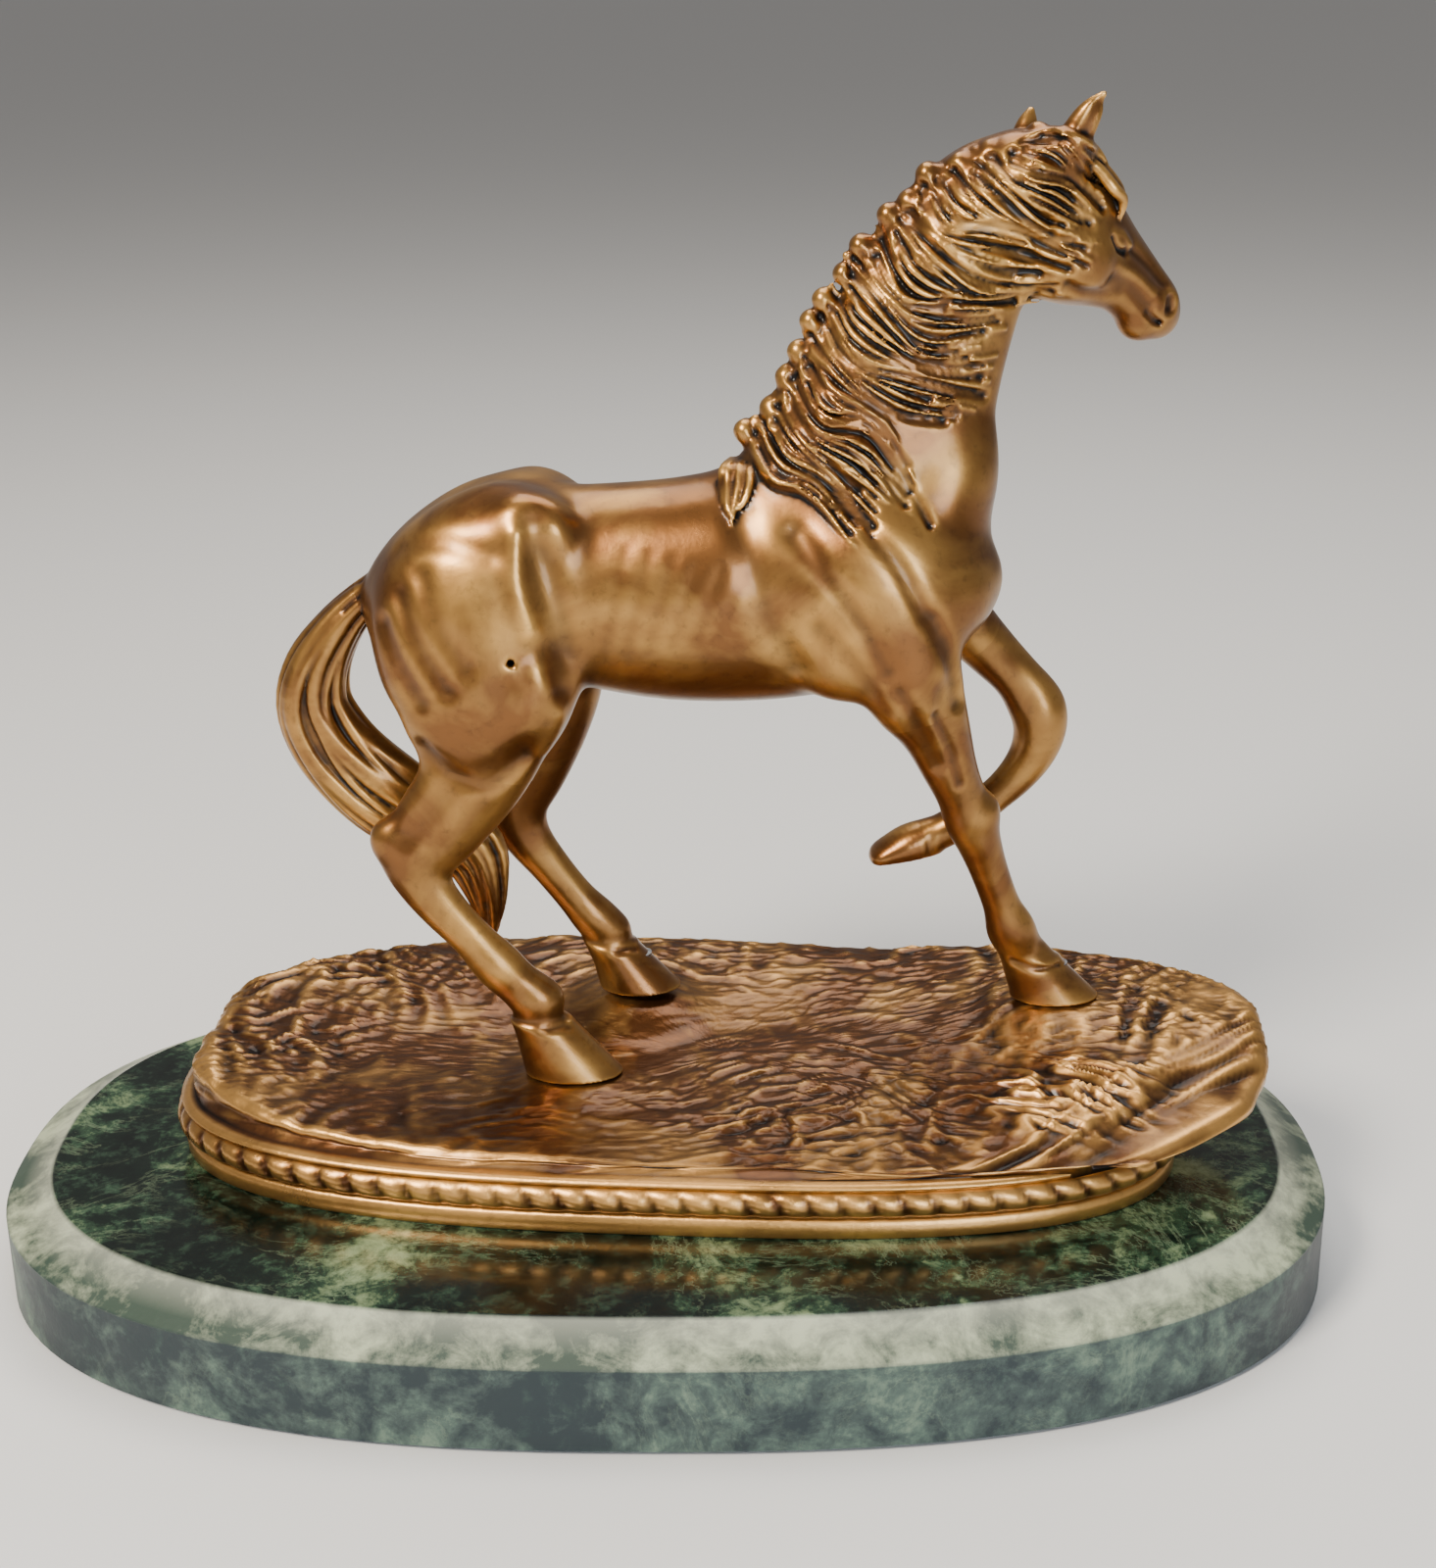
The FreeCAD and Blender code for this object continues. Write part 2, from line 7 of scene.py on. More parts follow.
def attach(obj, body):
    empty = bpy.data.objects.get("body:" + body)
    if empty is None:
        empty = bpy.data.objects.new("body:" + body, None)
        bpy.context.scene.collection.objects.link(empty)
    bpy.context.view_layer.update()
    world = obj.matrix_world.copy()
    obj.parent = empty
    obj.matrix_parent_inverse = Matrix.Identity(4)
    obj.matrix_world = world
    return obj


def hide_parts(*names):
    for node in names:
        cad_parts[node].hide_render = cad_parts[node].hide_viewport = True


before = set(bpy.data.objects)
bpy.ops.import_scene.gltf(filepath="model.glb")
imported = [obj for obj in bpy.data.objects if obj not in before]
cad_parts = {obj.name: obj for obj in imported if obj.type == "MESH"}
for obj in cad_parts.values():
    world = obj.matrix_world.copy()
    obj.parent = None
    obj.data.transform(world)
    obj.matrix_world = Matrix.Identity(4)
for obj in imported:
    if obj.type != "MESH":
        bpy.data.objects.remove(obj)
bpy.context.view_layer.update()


# Table and light: a pale seamless table top under three soft studio lamps.
# The statuette is seen from its right side, from half a metre away and a little above.
table_level = 0.0
bpy.ops.mesh.primitive_plane_add(size=60, location=(0, 0, table_level))
table = bpy.context.object
table.name = "table_top"
paper = bpy.data.materials.new("table_paper")
paper.use_nodes = True
tree = paper.node_tree
shader = tree.nodes["Principled BSDF"]
grain = tree.nodes.new("ShaderNodeTexNoise")
grain.inputs["Scale"].default_value = 9.0
tint = tree.nodes.new("ShaderNodeMapRange")
tint.inputs["To Min"].default_value = 0.66
tint.inputs["To Max"].default_value = 0.72
tree.links.new(grain.outputs["Fac"], tint.inputs["Value"])
tree.links.new(tint.outputs["Result"], shader.inputs["Base Color"])
shader.inputs["Roughness"].default_value = 0.75
table.data.materials.append(paper)

for name, place, aim, size, power, colour in (
        ("key_lamp", (-0.55, -0.75, 0.95), (0, 0, 0.12), 0.36, 25.0, (1.0, 0.91, 0.78)),
        ("window_lamp", (0.35, -0.9, 0.32), (0.02, 0, 0.12), 0.4, 6.0, (0.82, 0.91, 1.0)),
        ("top_lamp", (0.1, 0.35, 1.1), (0, 0, 0.1), 0.8, 11.0, (1.0, 0.96, 0.9))):
    lamp = bpy.data.lights.new(name, "AREA")
    lamp.shape = "SQUARE"
    lamp.size = size
    lamp.energy = power
    lamp.color = colour
    stand = bpy.data.objects.new(name, lamp)
    bpy.context.scene.collection.objects.link(stand)
    stand.location = place
    stand.rotation_euler = (Vector(aim) - Vector(place)).to_track_quat("-Z", "Y").to_euler()
world = bpy.data.worlds.new("studio")
bpy.context.scene.world = world
world.use_nodes = True
world.node_tree.nodes["Background"].inputs["Color"].default_value = (0.66, 0.64, 0.62, 1)
world.node_tree.nodes["Background"].inputs["Strength"].default_value = 0.42

lens = bpy.data.cameras.new("camera")
lens.sensor_fit = "VERTICAL"
lens.sensor_height = 36.0
lens.lens = 54.71
camera = bpy.data.objects.new("camera", lens)
bpy.context.scene.collection.objects.link(camera)
camera_place = (0.02618, -0.49659, 0.30195)
pitch, yaw, roll = 0.362, -0.0254, -0.0135
ahead = Vector((np.sin(yaw) * np.cos(pitch), np.cos(yaw) * np.cos(pitch), -np.sin(pitch)))
side = ahead.cross(Vector((0, 0, 1))).normalized()
above = side.cross(ahead)
right = side * np.cos(roll) + above * np.sin(roll)
upward = above * np.cos(roll) - side * np.sin(roll)
turned_view = Matrix((right, upward, -ahead)).transposed().to_4x4()
camera.matrix_world = Matrix.Translation(camera_place) @ turned_view
bpy.context.scene.camera = camera


# Marble plinth on its felt: a slab of dark green marble with pale clouds and veins, sawn and
# ground to an oval, its top polished, its bevel and side left honed. The felt is glued under it.
# The bevel's colour holds a painted highlight towards its top edge, and the side's colour holds painted cool
# shade.
marble_top = 0.0266
bevel_foot = 0.0205


def add(tree, kind, settings=None, **links):
    """Adds a node; a link is another node's socket or a plain value for the input of that name."""
    made = tree.nodes.new(kind)
    for key, value in (settings or {}).items():
        setattr(made, key, value)
    for key, value in links.items():
        socket = made.inputs[int(key[1:])] if key[0] == "i" and key[1:].isdigit() else made.inputs[key]
        if isinstance(value, bpy.types.NodeSocket):
            tree.links.new(value, socket)
        else:
            socket.default_value = value
    return made


def ramp(tree, value, *stops):
    """Colour ramp through (place, colour) stops."""
    made = add(tree, "ShaderNodeValToRGB", Fac=value)
    steps = made.color_ramp.elements
    while len(steps) < len(stops):
        steps.new(0.5)
    for step, (place, colour) in zip(steps, stops):
        step.position = place
        step.color = (*colour, 1)
    return made.outputs["Color"]


def spread(tree, value, low, high, to_low, to_high):
    """Stretches a value from one range to another."""
    return add(tree, "ShaderNodeMapRange", Value=value, i1=low, i2=high, i3=to_low, i4=to_high).outputs[0]


def maths(tree, what, a, b=0.0):
    return add(tree, "ShaderNodeMath", {"operation": what}, i0=a, i1=b).outputs[0]


def mix(tree, share, a, b):
    return add(tree, "ShaderNodeMix", {"data_type": "RGBA"}, i0=share, i6=a, i7=b).outputs[2]


def noise(tree, where, scale, detail=4.0, warp=0.0, rough=0.5):
    return add(tree, "ShaderNodeTexNoise", Vector=where, Scale=scale, Detail=detail, Roughness=rough,
               Distortion=warp).outputs["Fac"]


def material(name):
    made = bpy.data.materials.new(name)
    made.use_nodes = True
    return made, made.node_tree, made.node_tree.nodes["Principled BSDF"]


def wire(tree, shader, colour, roughness, relief, strength, distance):
    """Joins a material's colour, roughness and fine bump to its shader."""
    bump = add(tree, "ShaderNodeBump", Height=relief, Strength=strength, Distance=distance).outputs[0]
    for socket, name in ((colour, "Base Color"), (roughness, "Roughness"), (bump, "Normal")):
        tree.links.new(socket, shader.inputs[name])


def dress(node, finish):
    """Gives a carried-over CAD node its real finish."""
    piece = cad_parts[node]
    piece.data.materials.clear()
    piece.data.materials.append(finish)
    return piece


marble, tree, shader = material("marble")
place = add(tree, "ShaderNodeTexCoord").outputs["Object"]
cloud = noise(tree, place, 26.0, 8.0, 0.5, 0.62)
patch = noise(tree, place, 75.0, 9.0, 1.2, 0.72)
speckle = noise(tree, place, 210.0, 6.0, 0.2, 0.7)
vein = noise(tree, place, 15.0, 9.0, 2.6, 0.68)
small = maths(tree, "ADD", maths(tree, "MULTIPLY", patch, 0.3), maths(tree, "MULTIPLY", speckle, 0.2))
clump = maths(tree, "ADD", maths(tree, "MULTIPLY", cloud, 0.5), small)
dark = ramp(tree, clump, (0.42, (0.001, 0.003, 0.002)), (0.51, (0.003, 0.008, 0.005)),
            (0.55, (0.02, 0.045, 0.024)), (0.63, (0.24, 0.31, 0.16)))
dark = mix(tree, spread(tree, speckle, 0.52, 0.76, 0.0, 0.5), dark, (0.05, 0.1, 0.06, 1))
line = maths(tree, "ABSOLUTE", maths(tree, "SUBTRACT", vein, 0.5))
thin = maths(tree, "MULTIPLY", spread(tree, line, 0.0, 0.016, 0.6, 0.0),
             spread(tree, cloud, 0.42, 0.7, 0.0, 1.0))
polished = mix(tree, thin, dark, (0.2, 0.27, 0.16, 1))
height = add(tree, "ShaderNodeSeparateXYZ", Vector=place).outputs["Z"]
on_top = spread(tree, height, marble_top - 0.0006, marble_top - 0.0001, 0.0, 1.0)
on_bevel = maths(tree, "SUBTRACT", spread(tree, height, bevel_foot - 0.0003, bevel_foot + 0.0003, 0.0, 1.0),
                 on_top)
chalk = mix(tree, spread(tree, clump, 0.45, 0.57, 0.0, 1.0), (0.035, 0.06, 0.042, 1), (0.4, 0.44, 0.3, 1))
# Painted highlight: the bevel's colour turns paler and creamier towards its top edge, where light catches
# it.
chalk_and_painted_highlight = mix(tree, spread(tree, height, 0.0222, 0.0264, 0.0, 0.4), chalk, (0.56, 0.57, 0.46, 1))
honed_bevel_and_painted_highlight = mix(tree, 0.2, chalk_and_painted_highlight, polished)
# Painted shade: the upright side is mixed darker and bluer than the bevel, as cool shade falling on it; its
# mottling follows the stone's clouds.
painted_cool_shade = mix(tree, spread(tree, clump, 0.46, 0.57, 0.0, 1.0), (0.012, 0.028, 0.036, 1), (0.1, 0.15, 0.13, 1))
side_in_painted_shade = mix(tree, 0.55, polished, painted_cool_shade)
colour = mix(tree, on_bevel, mix(tree, on_top, side_in_painted_shade, polished), honed_bevel_and_painted_highlight)
dull = add(tree, "ShaderNodeMix", i0=on_top, i2=0.46, i3=0.14).outputs[0]
smear = spread(tree, noise(tree, place, 60.0, 3.0), 0.4, 0.7, 0.0, 0.12)
saw = noise(tree, place, 900.0, 2.0)
pits = maths(tree, "MULTIPLY", saw, maths(tree, "SUBTRACT", 1.0, on_top))
wire(tree, shader, colour, maths(tree, "ADD", dull, smear), pits, 0.25, 0.0002)
dress("marble_plinth", marble)

felt, tree, shader = material("felt")
place = add(tree, "ShaderNodeTexCoord").outputs["Object"]
fuzz = noise(tree, place, 1500.0, 5.0)
wire(tree, shader, ramp(tree, fuzz, (0.3, (0.012, 0.03, 0.018)), (0.7, (0.045, 0.1, 0.06))),
     spread(tree, fuzz, 0.0, 1.0, 0.85, 1.0), fuzz, 0.8, 0.0005)
dress("felt_pad", felt)


# Bronze finish: cast bronze chased smooth, coloured brown with hot chemicals, dark left in the
# hollows and rubbed back to gold on the high points, then lacquered.


def patina_group():
    """Colour, dullness and fine surface of the patina, from a hollow mask and a place."""
    made = bpy.data.node_groups.new("bronze_patina", "ShaderNodeTree")
    for way, kind, names in (("INPUT", "Float", ("Hollow", "Rubbed")), ("OUTPUT", "Color", ("Colour",)),
                             ("OUTPUT", "Float", ("Dullness", "Relief")),
                             ("INPUT", "Color", ("Brown", "Gold", "Dark"))):
        for name in names:
            made.interface.new_socket(name, in_out=way, socket_type="NodeSocket" + kind)
    enter = made.nodes.new("NodeGroupInput")
    leave = made.nodes.new("NodeGroupOutput")
    place = add(made, "ShaderNodeTexCoord").outputs["Object"]
    blotch = noise(made, place, 38.0, 5.0, 0.6)
    fine = noise(made, place, 420.0, 6.0, 0.3, 0.65)
    brown, gold, dark = (enter.outputs[name] for name in ("Brown", "Gold", "Dark"))
    hollow = maths(made, "ADD", enter.outputs["Hollow"], spread(made, fine, 0.3, 0.7, -0.04, 0.04))
    high = maths(made, "ADD", enter.outputs["Rubbed"], spread(made, blotch, 0.36, 0.72, -0.25, 0.5))
    stained = mix(made, spread(made, blotch, 0.35, 0.7, 0.0, 0.45), brown, dark)
    worn = mix(made, hollow, mix(made, high, stained, gold), dark)
    grimy = mix(made, spread(made, fine, 0.55, 0.8, 0.0, 0.35), worn, dark)
    dull = maths(made, "ADD", spread(made, blotch, 0.3, 0.7, 0.27, 0.4),
                 maths(made, "MULTIPLY", hollow, 0.22))
    for socket, name in ((grimy, "Colour"), (dull, "Dullness"), (fine, "Relief")):
        made.links.new(socket, leave.inputs[name])
    return made


patina = patina_group()


def bronze(name, brown, gold, dark, relief):
    """Lacquered bronze: metal under a thin clear coat."""
    made, tree, shader = material(name)
    wear = tree.nodes.new("ShaderNodeGroup")
    wear.node_tree = patina
    for key, colour in (("Brown", brown), ("Gold", gold), ("Dark", dark)):
        wear.inputs[key].default_value = (*colour, 1)
    for key, mark in (("Hollow", "hollow"), ("Rubbed", "rubbed")):
        seen = add(tree, "ShaderNodeAttribute", {"attribute_name": mark})
        tree.links.new(seen.outputs["Fac"], wear.inputs[key])
    wire(tree, shader, *(wear.outputs[name] for name in ("Colour", "Dullness", "Relief")), relief, 0.0004)
    shader.inputs["Metallic"].default_value = 0.9
    shader.inputs["Coat Weight"].default_value = 0.25
    shader.inputs["Coat Roughness"].default_value = 0.16
    return made


horse_bronze = bronze("horse_bronze", (0.21, 0.085, 0.022), (0.8, 0.44, 0.115), (0.006, 0.005, 0.005), 0.1)
ground_bronze = bronze("ground_bronze", (0.12, 0.045, 0.013), (0.62, 0.33, 0.095),
                       (0.008, 0.004, 0.003), 0.3)


def read(items, what, kind, width):
    """One property of all the vertices or edges, a row for each."""
    found = np.zeros(len(items) * width, kind)
    items.foreach_get(what, found)
    return found.reshape(-1, width)


def mark_wear(piece, rounds, hollow_gain, rub_gain):
    """Stores how hollow and how proud each point is, measured against its neighbours."""
    mesh = piece.data
    count = len(mesh.vertices)
    co = read(mesh.vertices, "co", np.float32, 3)
    normal = read(mesh.vertices, "normal", np.float32, 3)
    a, b = read(mesh.edges, "vertices", np.int32, 2).T
    share = np.bincount(a, minlength=count) + np.bincount(b, minlength=count) + 1e-6

    def neighbours(value):
        return np.bincount(a, value[b], count) + np.bincount(b, value[a], count)

    smooth = co.copy()
    for _ in range(rounds):
        total = np.stack([neighbours(smooth[:, k]) for k in range(3)], 1)
        smooth = 0.3 * smooth + 0.7 * total / share[:, None]
    sunk = ((smooth - co) * normal).sum(1) * 1000
    for _ in range(2):
        sunk = 0.5 * sunk + 0.5 * neighbours(sunk) / share
    for name, value in (("hollow", sunk * hollow_gain), ("rubbed", -sunk * rub_gain)):
        mark = mesh.attributes.new(name, "FLOAT", "POINT")
        mark.data.foreach_set("value", np.clip(value, 0, 1).astype(np.float32))


def skin(name, points, faces, finish):
    """Closed mesh object from points in millimetres above the marble."""
    mesh = bpy.data.meshes.new(name)
    points = np.asarray(points, np.float32) * 0.001
    points[:, 2] += marble_top
    mesh.vertices.add(len(points))
    mesh.vertices.foreach_set("co", points.ravel())
    mesh.loops.add(len(faces) * 4)
    mesh.loops.foreach_set("vertex_index", np.asarray(faces, np.int32).ravel())
    mesh.polygons.add(len(faces))
    mesh.polygons.foreach_set("loop_start", np.arange(0, len(faces) * 4, 4, dtype=np.int32))
    mesh.update(calc_edges=True)
    mesh.validate()
    mesh.polygons.foreach_set("use_smooth", np.ones(len(mesh.polygons), bool))
    piece = bpy.data.objects.new(name, mesh)
    bpy.context.scene.collection.objects.link(piece)
    piece.data.materials.append(finish)
    return piece


# Ground casting: one sand-cast shell with a plain foot band, a rope moulding, a hollow neck and a
# carved top like wind-combed turf. Its right end juts out over the foot.
foot_length, foot_width, foot_x, foot_y = 231.0, 100.0, 3.0, 2.5
crown_length, crown_width, crown_x, crown_y = 249.0, 97.0, 14.5, 4.0
turn = np.radians(-3.6)
right_fore_stand = (92.0, 12.0, 28.9)
right_hind_stand = (-20.0, -6.0, 18.6)
left_hind_stand = (-6.0, 24.0, 26.2)
around, wall_rings, top_rings = 600, 15, 105
rope_strands, rope_rings, rope_mid, rope_radius = 84, 18, 8.4, 3.3
tuft_place, tuft_size = (92, -22), (19, 13)
dip_place, dip_size = (18, 22), (34, 20)
slope_from, slope_way = (135, 3), (0.546, -0.838)
chance = np.random.default_rng(7)
lattice = chance.random((256, 256)).astype(np.float32)


def waves(x, y, scale, seed=0):
    """Smooth seeded unevenness between -1 and 1, one bump per scale millimetres."""
    x = x / scale + seed * 17.3
    y = y / scale + seed * 5.7
    i = np.floor(x).astype(int)
    j = np.floor(y).astype(int)
    u = x - i
    v = y - j
    u = u * u * (3 - 2 * u)
    v = v * v * (3 - 2 * v)
    a, b, c, d = (lattice[(i + right) % 256, (j + up) % 256] for up in (0, 1) for right in (0, 1))
    return ((a * (1 - u) + b * u) * (1 - v) + (c * (1 - u) + d * u) * v) * 2 - 1


def eased(places, values, x):
    """Smooth curve at x through values at places; the values are one row for all, or a row for each x."""
    slopes = np.gradient(values, places, axis=-1)
    k = np.clip(np.searchsorted(places, x) - 1, 0, len(places) - 2)
    gap = places[k + 1] - places[k]
    t = np.clip((x - places[k]) / gap, 0, 1)

    def pick(table, n):
        return table[n] if table.ndim == 1 else np.take_along_axis(table, n[..., None], -1)[..., 0]

    return (pick(values, k) * (1 + 2 * t) * (1 - t) ** 2 + pick(values, k + 1) * t * t * (3 - 2 * t)
            + gap * (pick(slopes, k) * t * (1 - t) ** 2 - pick(slopes, k + 1) * t * t * (1 - t)))


def ground_level(x, y):
    """Broad lie of the ground above the marble."""
    xs = np.array([-135, -90, -55, -20, 15, 50, 85, 115, 155.0])
    ys = np.array([-62, -40, -15, 10, 35, 66.0])
    heights = np.array([[17, 16.5, 15.5, 14.8, 13.4, 13.6, 14.8, 18, 22],
                        [18, 17.0, 16.0, 15.6, 14.6, 15.2, 17.0, 22, 26],
                        [20, 19.0, 17.5, 16.6, 17.0, 18.0, 21.0, 26, 29],
                        [22, 21.0, 19.0, 18.8, 20.0, 22.0, 26.0, 28, 30],
                        [23, 24.0, 24.0, 24.8, 24.6, 25.0, 27.0, 28, 28],
                        [22, 24.0, 26.0, 27.0, 26.0, 24.0, 27.0, 28, 26]])
    return eased(ys, np.stack([eased(xs, row, x) for row in heights], -1), y)


def spot_mask(x, y, place, size, power=1):
    """1 at a place, fading to 0 round it; a higher power gives a steeper edge."""
    return np.exp(-(((x - place[0]) / size[0]) ** 2 + ((y - place[1]) / size[1]) ** 2) ** power)


def turf(x, y):
    """Height of the carved top: the broad lie, combed ripples, flat rests under the hooves."""
    level = ground_level(x, y)
    drift = waves(x, y, 31, 1) * 6
    comb = np.zeros_like(x)
    for scale, size, seed in ((9.0, 0.42, 2), (5.2, 0.34, 3), (3.0, 0.2, 4)):
        wind = 0.32 + 0.6 * waves(x, y, 50, seed)
        along = x * np.cos(wind) + y * np.sin(wind) + drift
        across = y * np.cos(wind) - x * np.sin(wind) + drift * 0.6
        across = across + 0.5 * scale * waves(along, across, scale * 1.7, seed + 4)
        ripple = waves(along / 2.3, across, scale * 0.55, seed)
        comb += size * (1 - 2.4 * np.abs(ripple)) * (1 + 0.5 * waves(x, y, 17, seed + 6))
        flake = (across / (scale * 0.9) + 1.3 * waves(along / 1.6, across, scale * 0.9, seed + 11)) % 1.0
        flaked = np.clip(0.55 + waves(along, across, scale * 1.3, seed + 14), 0, 1)
        comb += size * 1.5 * (flake ** 0.6 - 0.5) * flaked
    calm = np.clip(0.7 + 0.6 * waves(x, y, 38, 21), 0.3, 1.1)
    for *place, sole in (right_fore_stand, right_hind_stand, left_hind_stand):
        near = spot_mask(x, y, place, (15, 12), 1.5)
        level = level * (1 - near) + (sole + 0.35) * near
        calm = calm * (1 - 0.75 * near)
    dip = spot_mask(x, y, dip_place, dip_size)
    tuft = spot_mask(x, y, tuft_place, tuft_size, 2)
    strands = np.abs(waves(x * 0.35 + y * 0.1, y + 0.35 * x + 3 * waves(x, y, 14, 9), 2.3, 8))
    level = level + tuft * (3.0 - 3.4 * strands)
    slope = (x - slope_from[0]) * slope_way[0] + (y - slope_from[1]) * slope_way[1]
    slope = np.clip(slope, 0, 14) * (x > 30)
    level = level - slope * slope / (slope + 3.0) * 0.4
    cut_face = np.clip(slope / 2.0, 0, 1)
    level = level + cut_face * 0.75 * waves(slope + 0.8 * waves(x, y, 24, 31), (x + y) * 0.06, 1.15, 30)
    calm = calm * (1 - 0.9 * cut_face)
    return level - 2.2 * dip + comb * calm * (1 - 0.55 * dip) * (1 - 0.7 * tuft)


def oval(angle, length, width, x0, y0, roundness=2.8):
    """Squarish oval round (x0, y0), turned with the whole ground."""
    reach = (np.abs(np.cos(angle)) ** roundness + np.abs(np.sin(angle)) ** roundness) ** (-1 / roundness)
    x, y = np.cos(angle) * reach * length / 2, np.sin(angle) * reach * width / 2
    return x0 + x * np.cos(turn) - y * np.sin(turn), y0 + x * np.sin(turn) + y * np.cos(turn)


def ground_casting():
    """Rings from the foot up the wall and over the top to the middle, with the quads between them."""
    angle = np.linspace(0, 2 * np.pi, around, endpoint=False)

    def foot_ring(height, out):
        x, y = oval(angle, foot_length + 2 * out, foot_width + 2 * out, foot_x, foot_y)
        return x, y, height + 0 * x

    band = ((0.0, -0.5), (0.5, 0.0), (2.4, 0.15), (4.2, 0.0), (4.8, -0.7))
    rings = [foot_ring(height, out) for height, out in band]
    arc = np.cumsum(np.r_[0, np.hypot(*np.diff(np.array(foot_ring(0, 0)[:2]), axis=1))])
    strand = arc / arc[-1] * rope_strands * 2 * np.pi
    for k in range(rope_rings):
        bend = np.radians(-100 + 200 * k / (rope_rings - 1))
        twist = np.cos(strand + bend * 1.5)
        groove = 0.75 * np.clip(twist, 0, 1) ** 1.5 * np.cos(bend * 0.85)
        rings.append(foot_ring(rope_mid + (rope_radius - groove * 0.3) * np.sin(bend),
                               -1.6 + (rope_radius - groove) * np.cos(bend)))
    neck_x, neck_y, neck_z = foot_ring(11.6, -2.8)
    ledge_x, ledge_y, ledge_z = foot_ring(12.0, 0.3)
    rings += [(neck_x, neck_y, neck_z), (ledge_x, ledge_y, ledge_z),
              (ledge_x * 1.002, ledge_y * 1.002, ledge_z + 0.8),
              ((ledge_x + neck_x) / 2, (ledge_y + neck_y) / 2, ledge_z + 1.4)]
    lip_x, lip_y = oval(angle, crown_length, crown_width, crown_x, crown_y)
    ragged = 1.2 * waves(np.cos(angle) * 60, np.sin(angle) * 60, 13, 5) - 0.4
    lip_x = lip_x + np.cos(angle) * ragged
    lip_y = lip_y + np.sin(angle) * ragged
    lip_z = np.maximum(turf(lip_x, lip_y) - 1.6, 14.8)
    for k in range(wall_rings):
        t = k / (wall_rings - 1)
        bulge = np.clip(t * 1.5, 0, 1) ** 0.8
        x = neck_x + (lip_x - neck_x) * bulge
        y = neck_y + (lip_y - neck_y) * bulge
        z = 13.2 + (lip_z - 13.2) * t
        slate = 0.45 + 1.1 * np.exp(-((x - 100) / 38) ** 2) * (y < 8)
        strata = slate * waves(z * 1.3 - x * 0.22, x * 0.05 + y * 0.05, 1.5, 6) * np.sin(np.pi * t) ** 0.5
        rings.append((x + strata * np.cos(angle), y + strata * np.sin(angle), z))
    for k in range(1, top_rings):
        t = 1 - (k / top_rings) ** 1.05
        x = crown_x + (lip_x - crown_x) * t
        y = crown_y + (lip_y - crown_y) * t
        edge = 1.5 * np.clip(1 - k / 3.5, 0, 1) ** 2
        rings.append((x, y, turf(x, y) - edge))
    points = np.concatenate([np.stack(ring, 1) for ring in rings])
    crown_z = turf(np.array([crown_x]), np.array([crown_y]))[0]
    step = np.arange(around)
    ahead = (step + 1) % around
    quads = np.stack([step, ahead, ahead + around, step + around], 1)
    faces = np.concatenate([quads + k * around for k in range(len(rings) - 1)])
    return np.vstack([points, [[crown_x, crown_y, crown_z], [foot_x, foot_y, 0.0]]]), faces


points, faces = ground_casting()
centre = len(points) - 2
last = centre - around
ground = skin("ground_cast", points, faces, ground_bronze)
shape = bmesh.new()
shape.from_mesh(ground.data)
shape.verts.ensure_lookup_table()
for k in range(around):
    shape.faces.new((shape.verts[last + k], shape.verts[last + (k + 1) % around], shape.verts[centre]))
    shape.faces.new((shape.verts[(k + 1) % around], shape.verts[k], shape.verts[centre + 1]))
shape.to_mesh(ground.data)
shape.free()
ground.data.polygons.foreach_set("use_smooth", np.ones(len(ground.data.polygons), bool))
mark_wear(ground, 8, 4.2, 3.4)
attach(ground, "root")
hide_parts("ground_casting")


# Horse, trunk: hollow casting from the withers to the rump with the roots of legs, neck and tail.
# All the horse's castings were modelled in wax as one animal, then parted at flat joints, cast,
# doweled, brazed and chased, so the same wax form is built here and cut at the same joints.

# Each joint is a point, the way out of the trunk, and how far from the point the cut reaches.
neck_joint = ((44, 9, 151.4), (0.42, 0, 0.91), 70)
right_foreleg_joint = ((59.8, -1, 104.6), (0.3, 0.1, -0.95), 17)
left_foreleg_joint = ((71.5, 20.3, 115.4), (0.6, 0.4, -0.69), 15)
right_hind_joint = ((-39.0, -4.5, 93.0), (-0.22, 0, -0.975), 24)
left_hind_joint = ((-28.3, 21.5, 90.6), (-0.22, 0, -0.975), 24)
tail_joint = ((-65.0, 9.6, 126.6), (-0.95, 0, -0.3), 12)
coarse = 1.0
far_off = 9.0
off_wax = 99.0


def flow(stations, steps=4):
    """Smooth run of stations through the given ones."""
    p = np.array(stations, float)
    p = np.vstack([2 * p[0] - p[1], p, 2 * p[-1] - p[-2]])
    t = (np.arange(steps) / steps)[:, None]
    run = [0.5 * (2 * b + (c - a) * t + (2 * a - 5 * b + 4 * c - d) * t ** 2
                  + (3 * b - a - 3 * c + d) * t ** 3) for a, b, c, d in zip(p[:-3], p[1:-2], p[2:-1], p[3:])]
    return np.vstack(run + [p[-2:-1]])


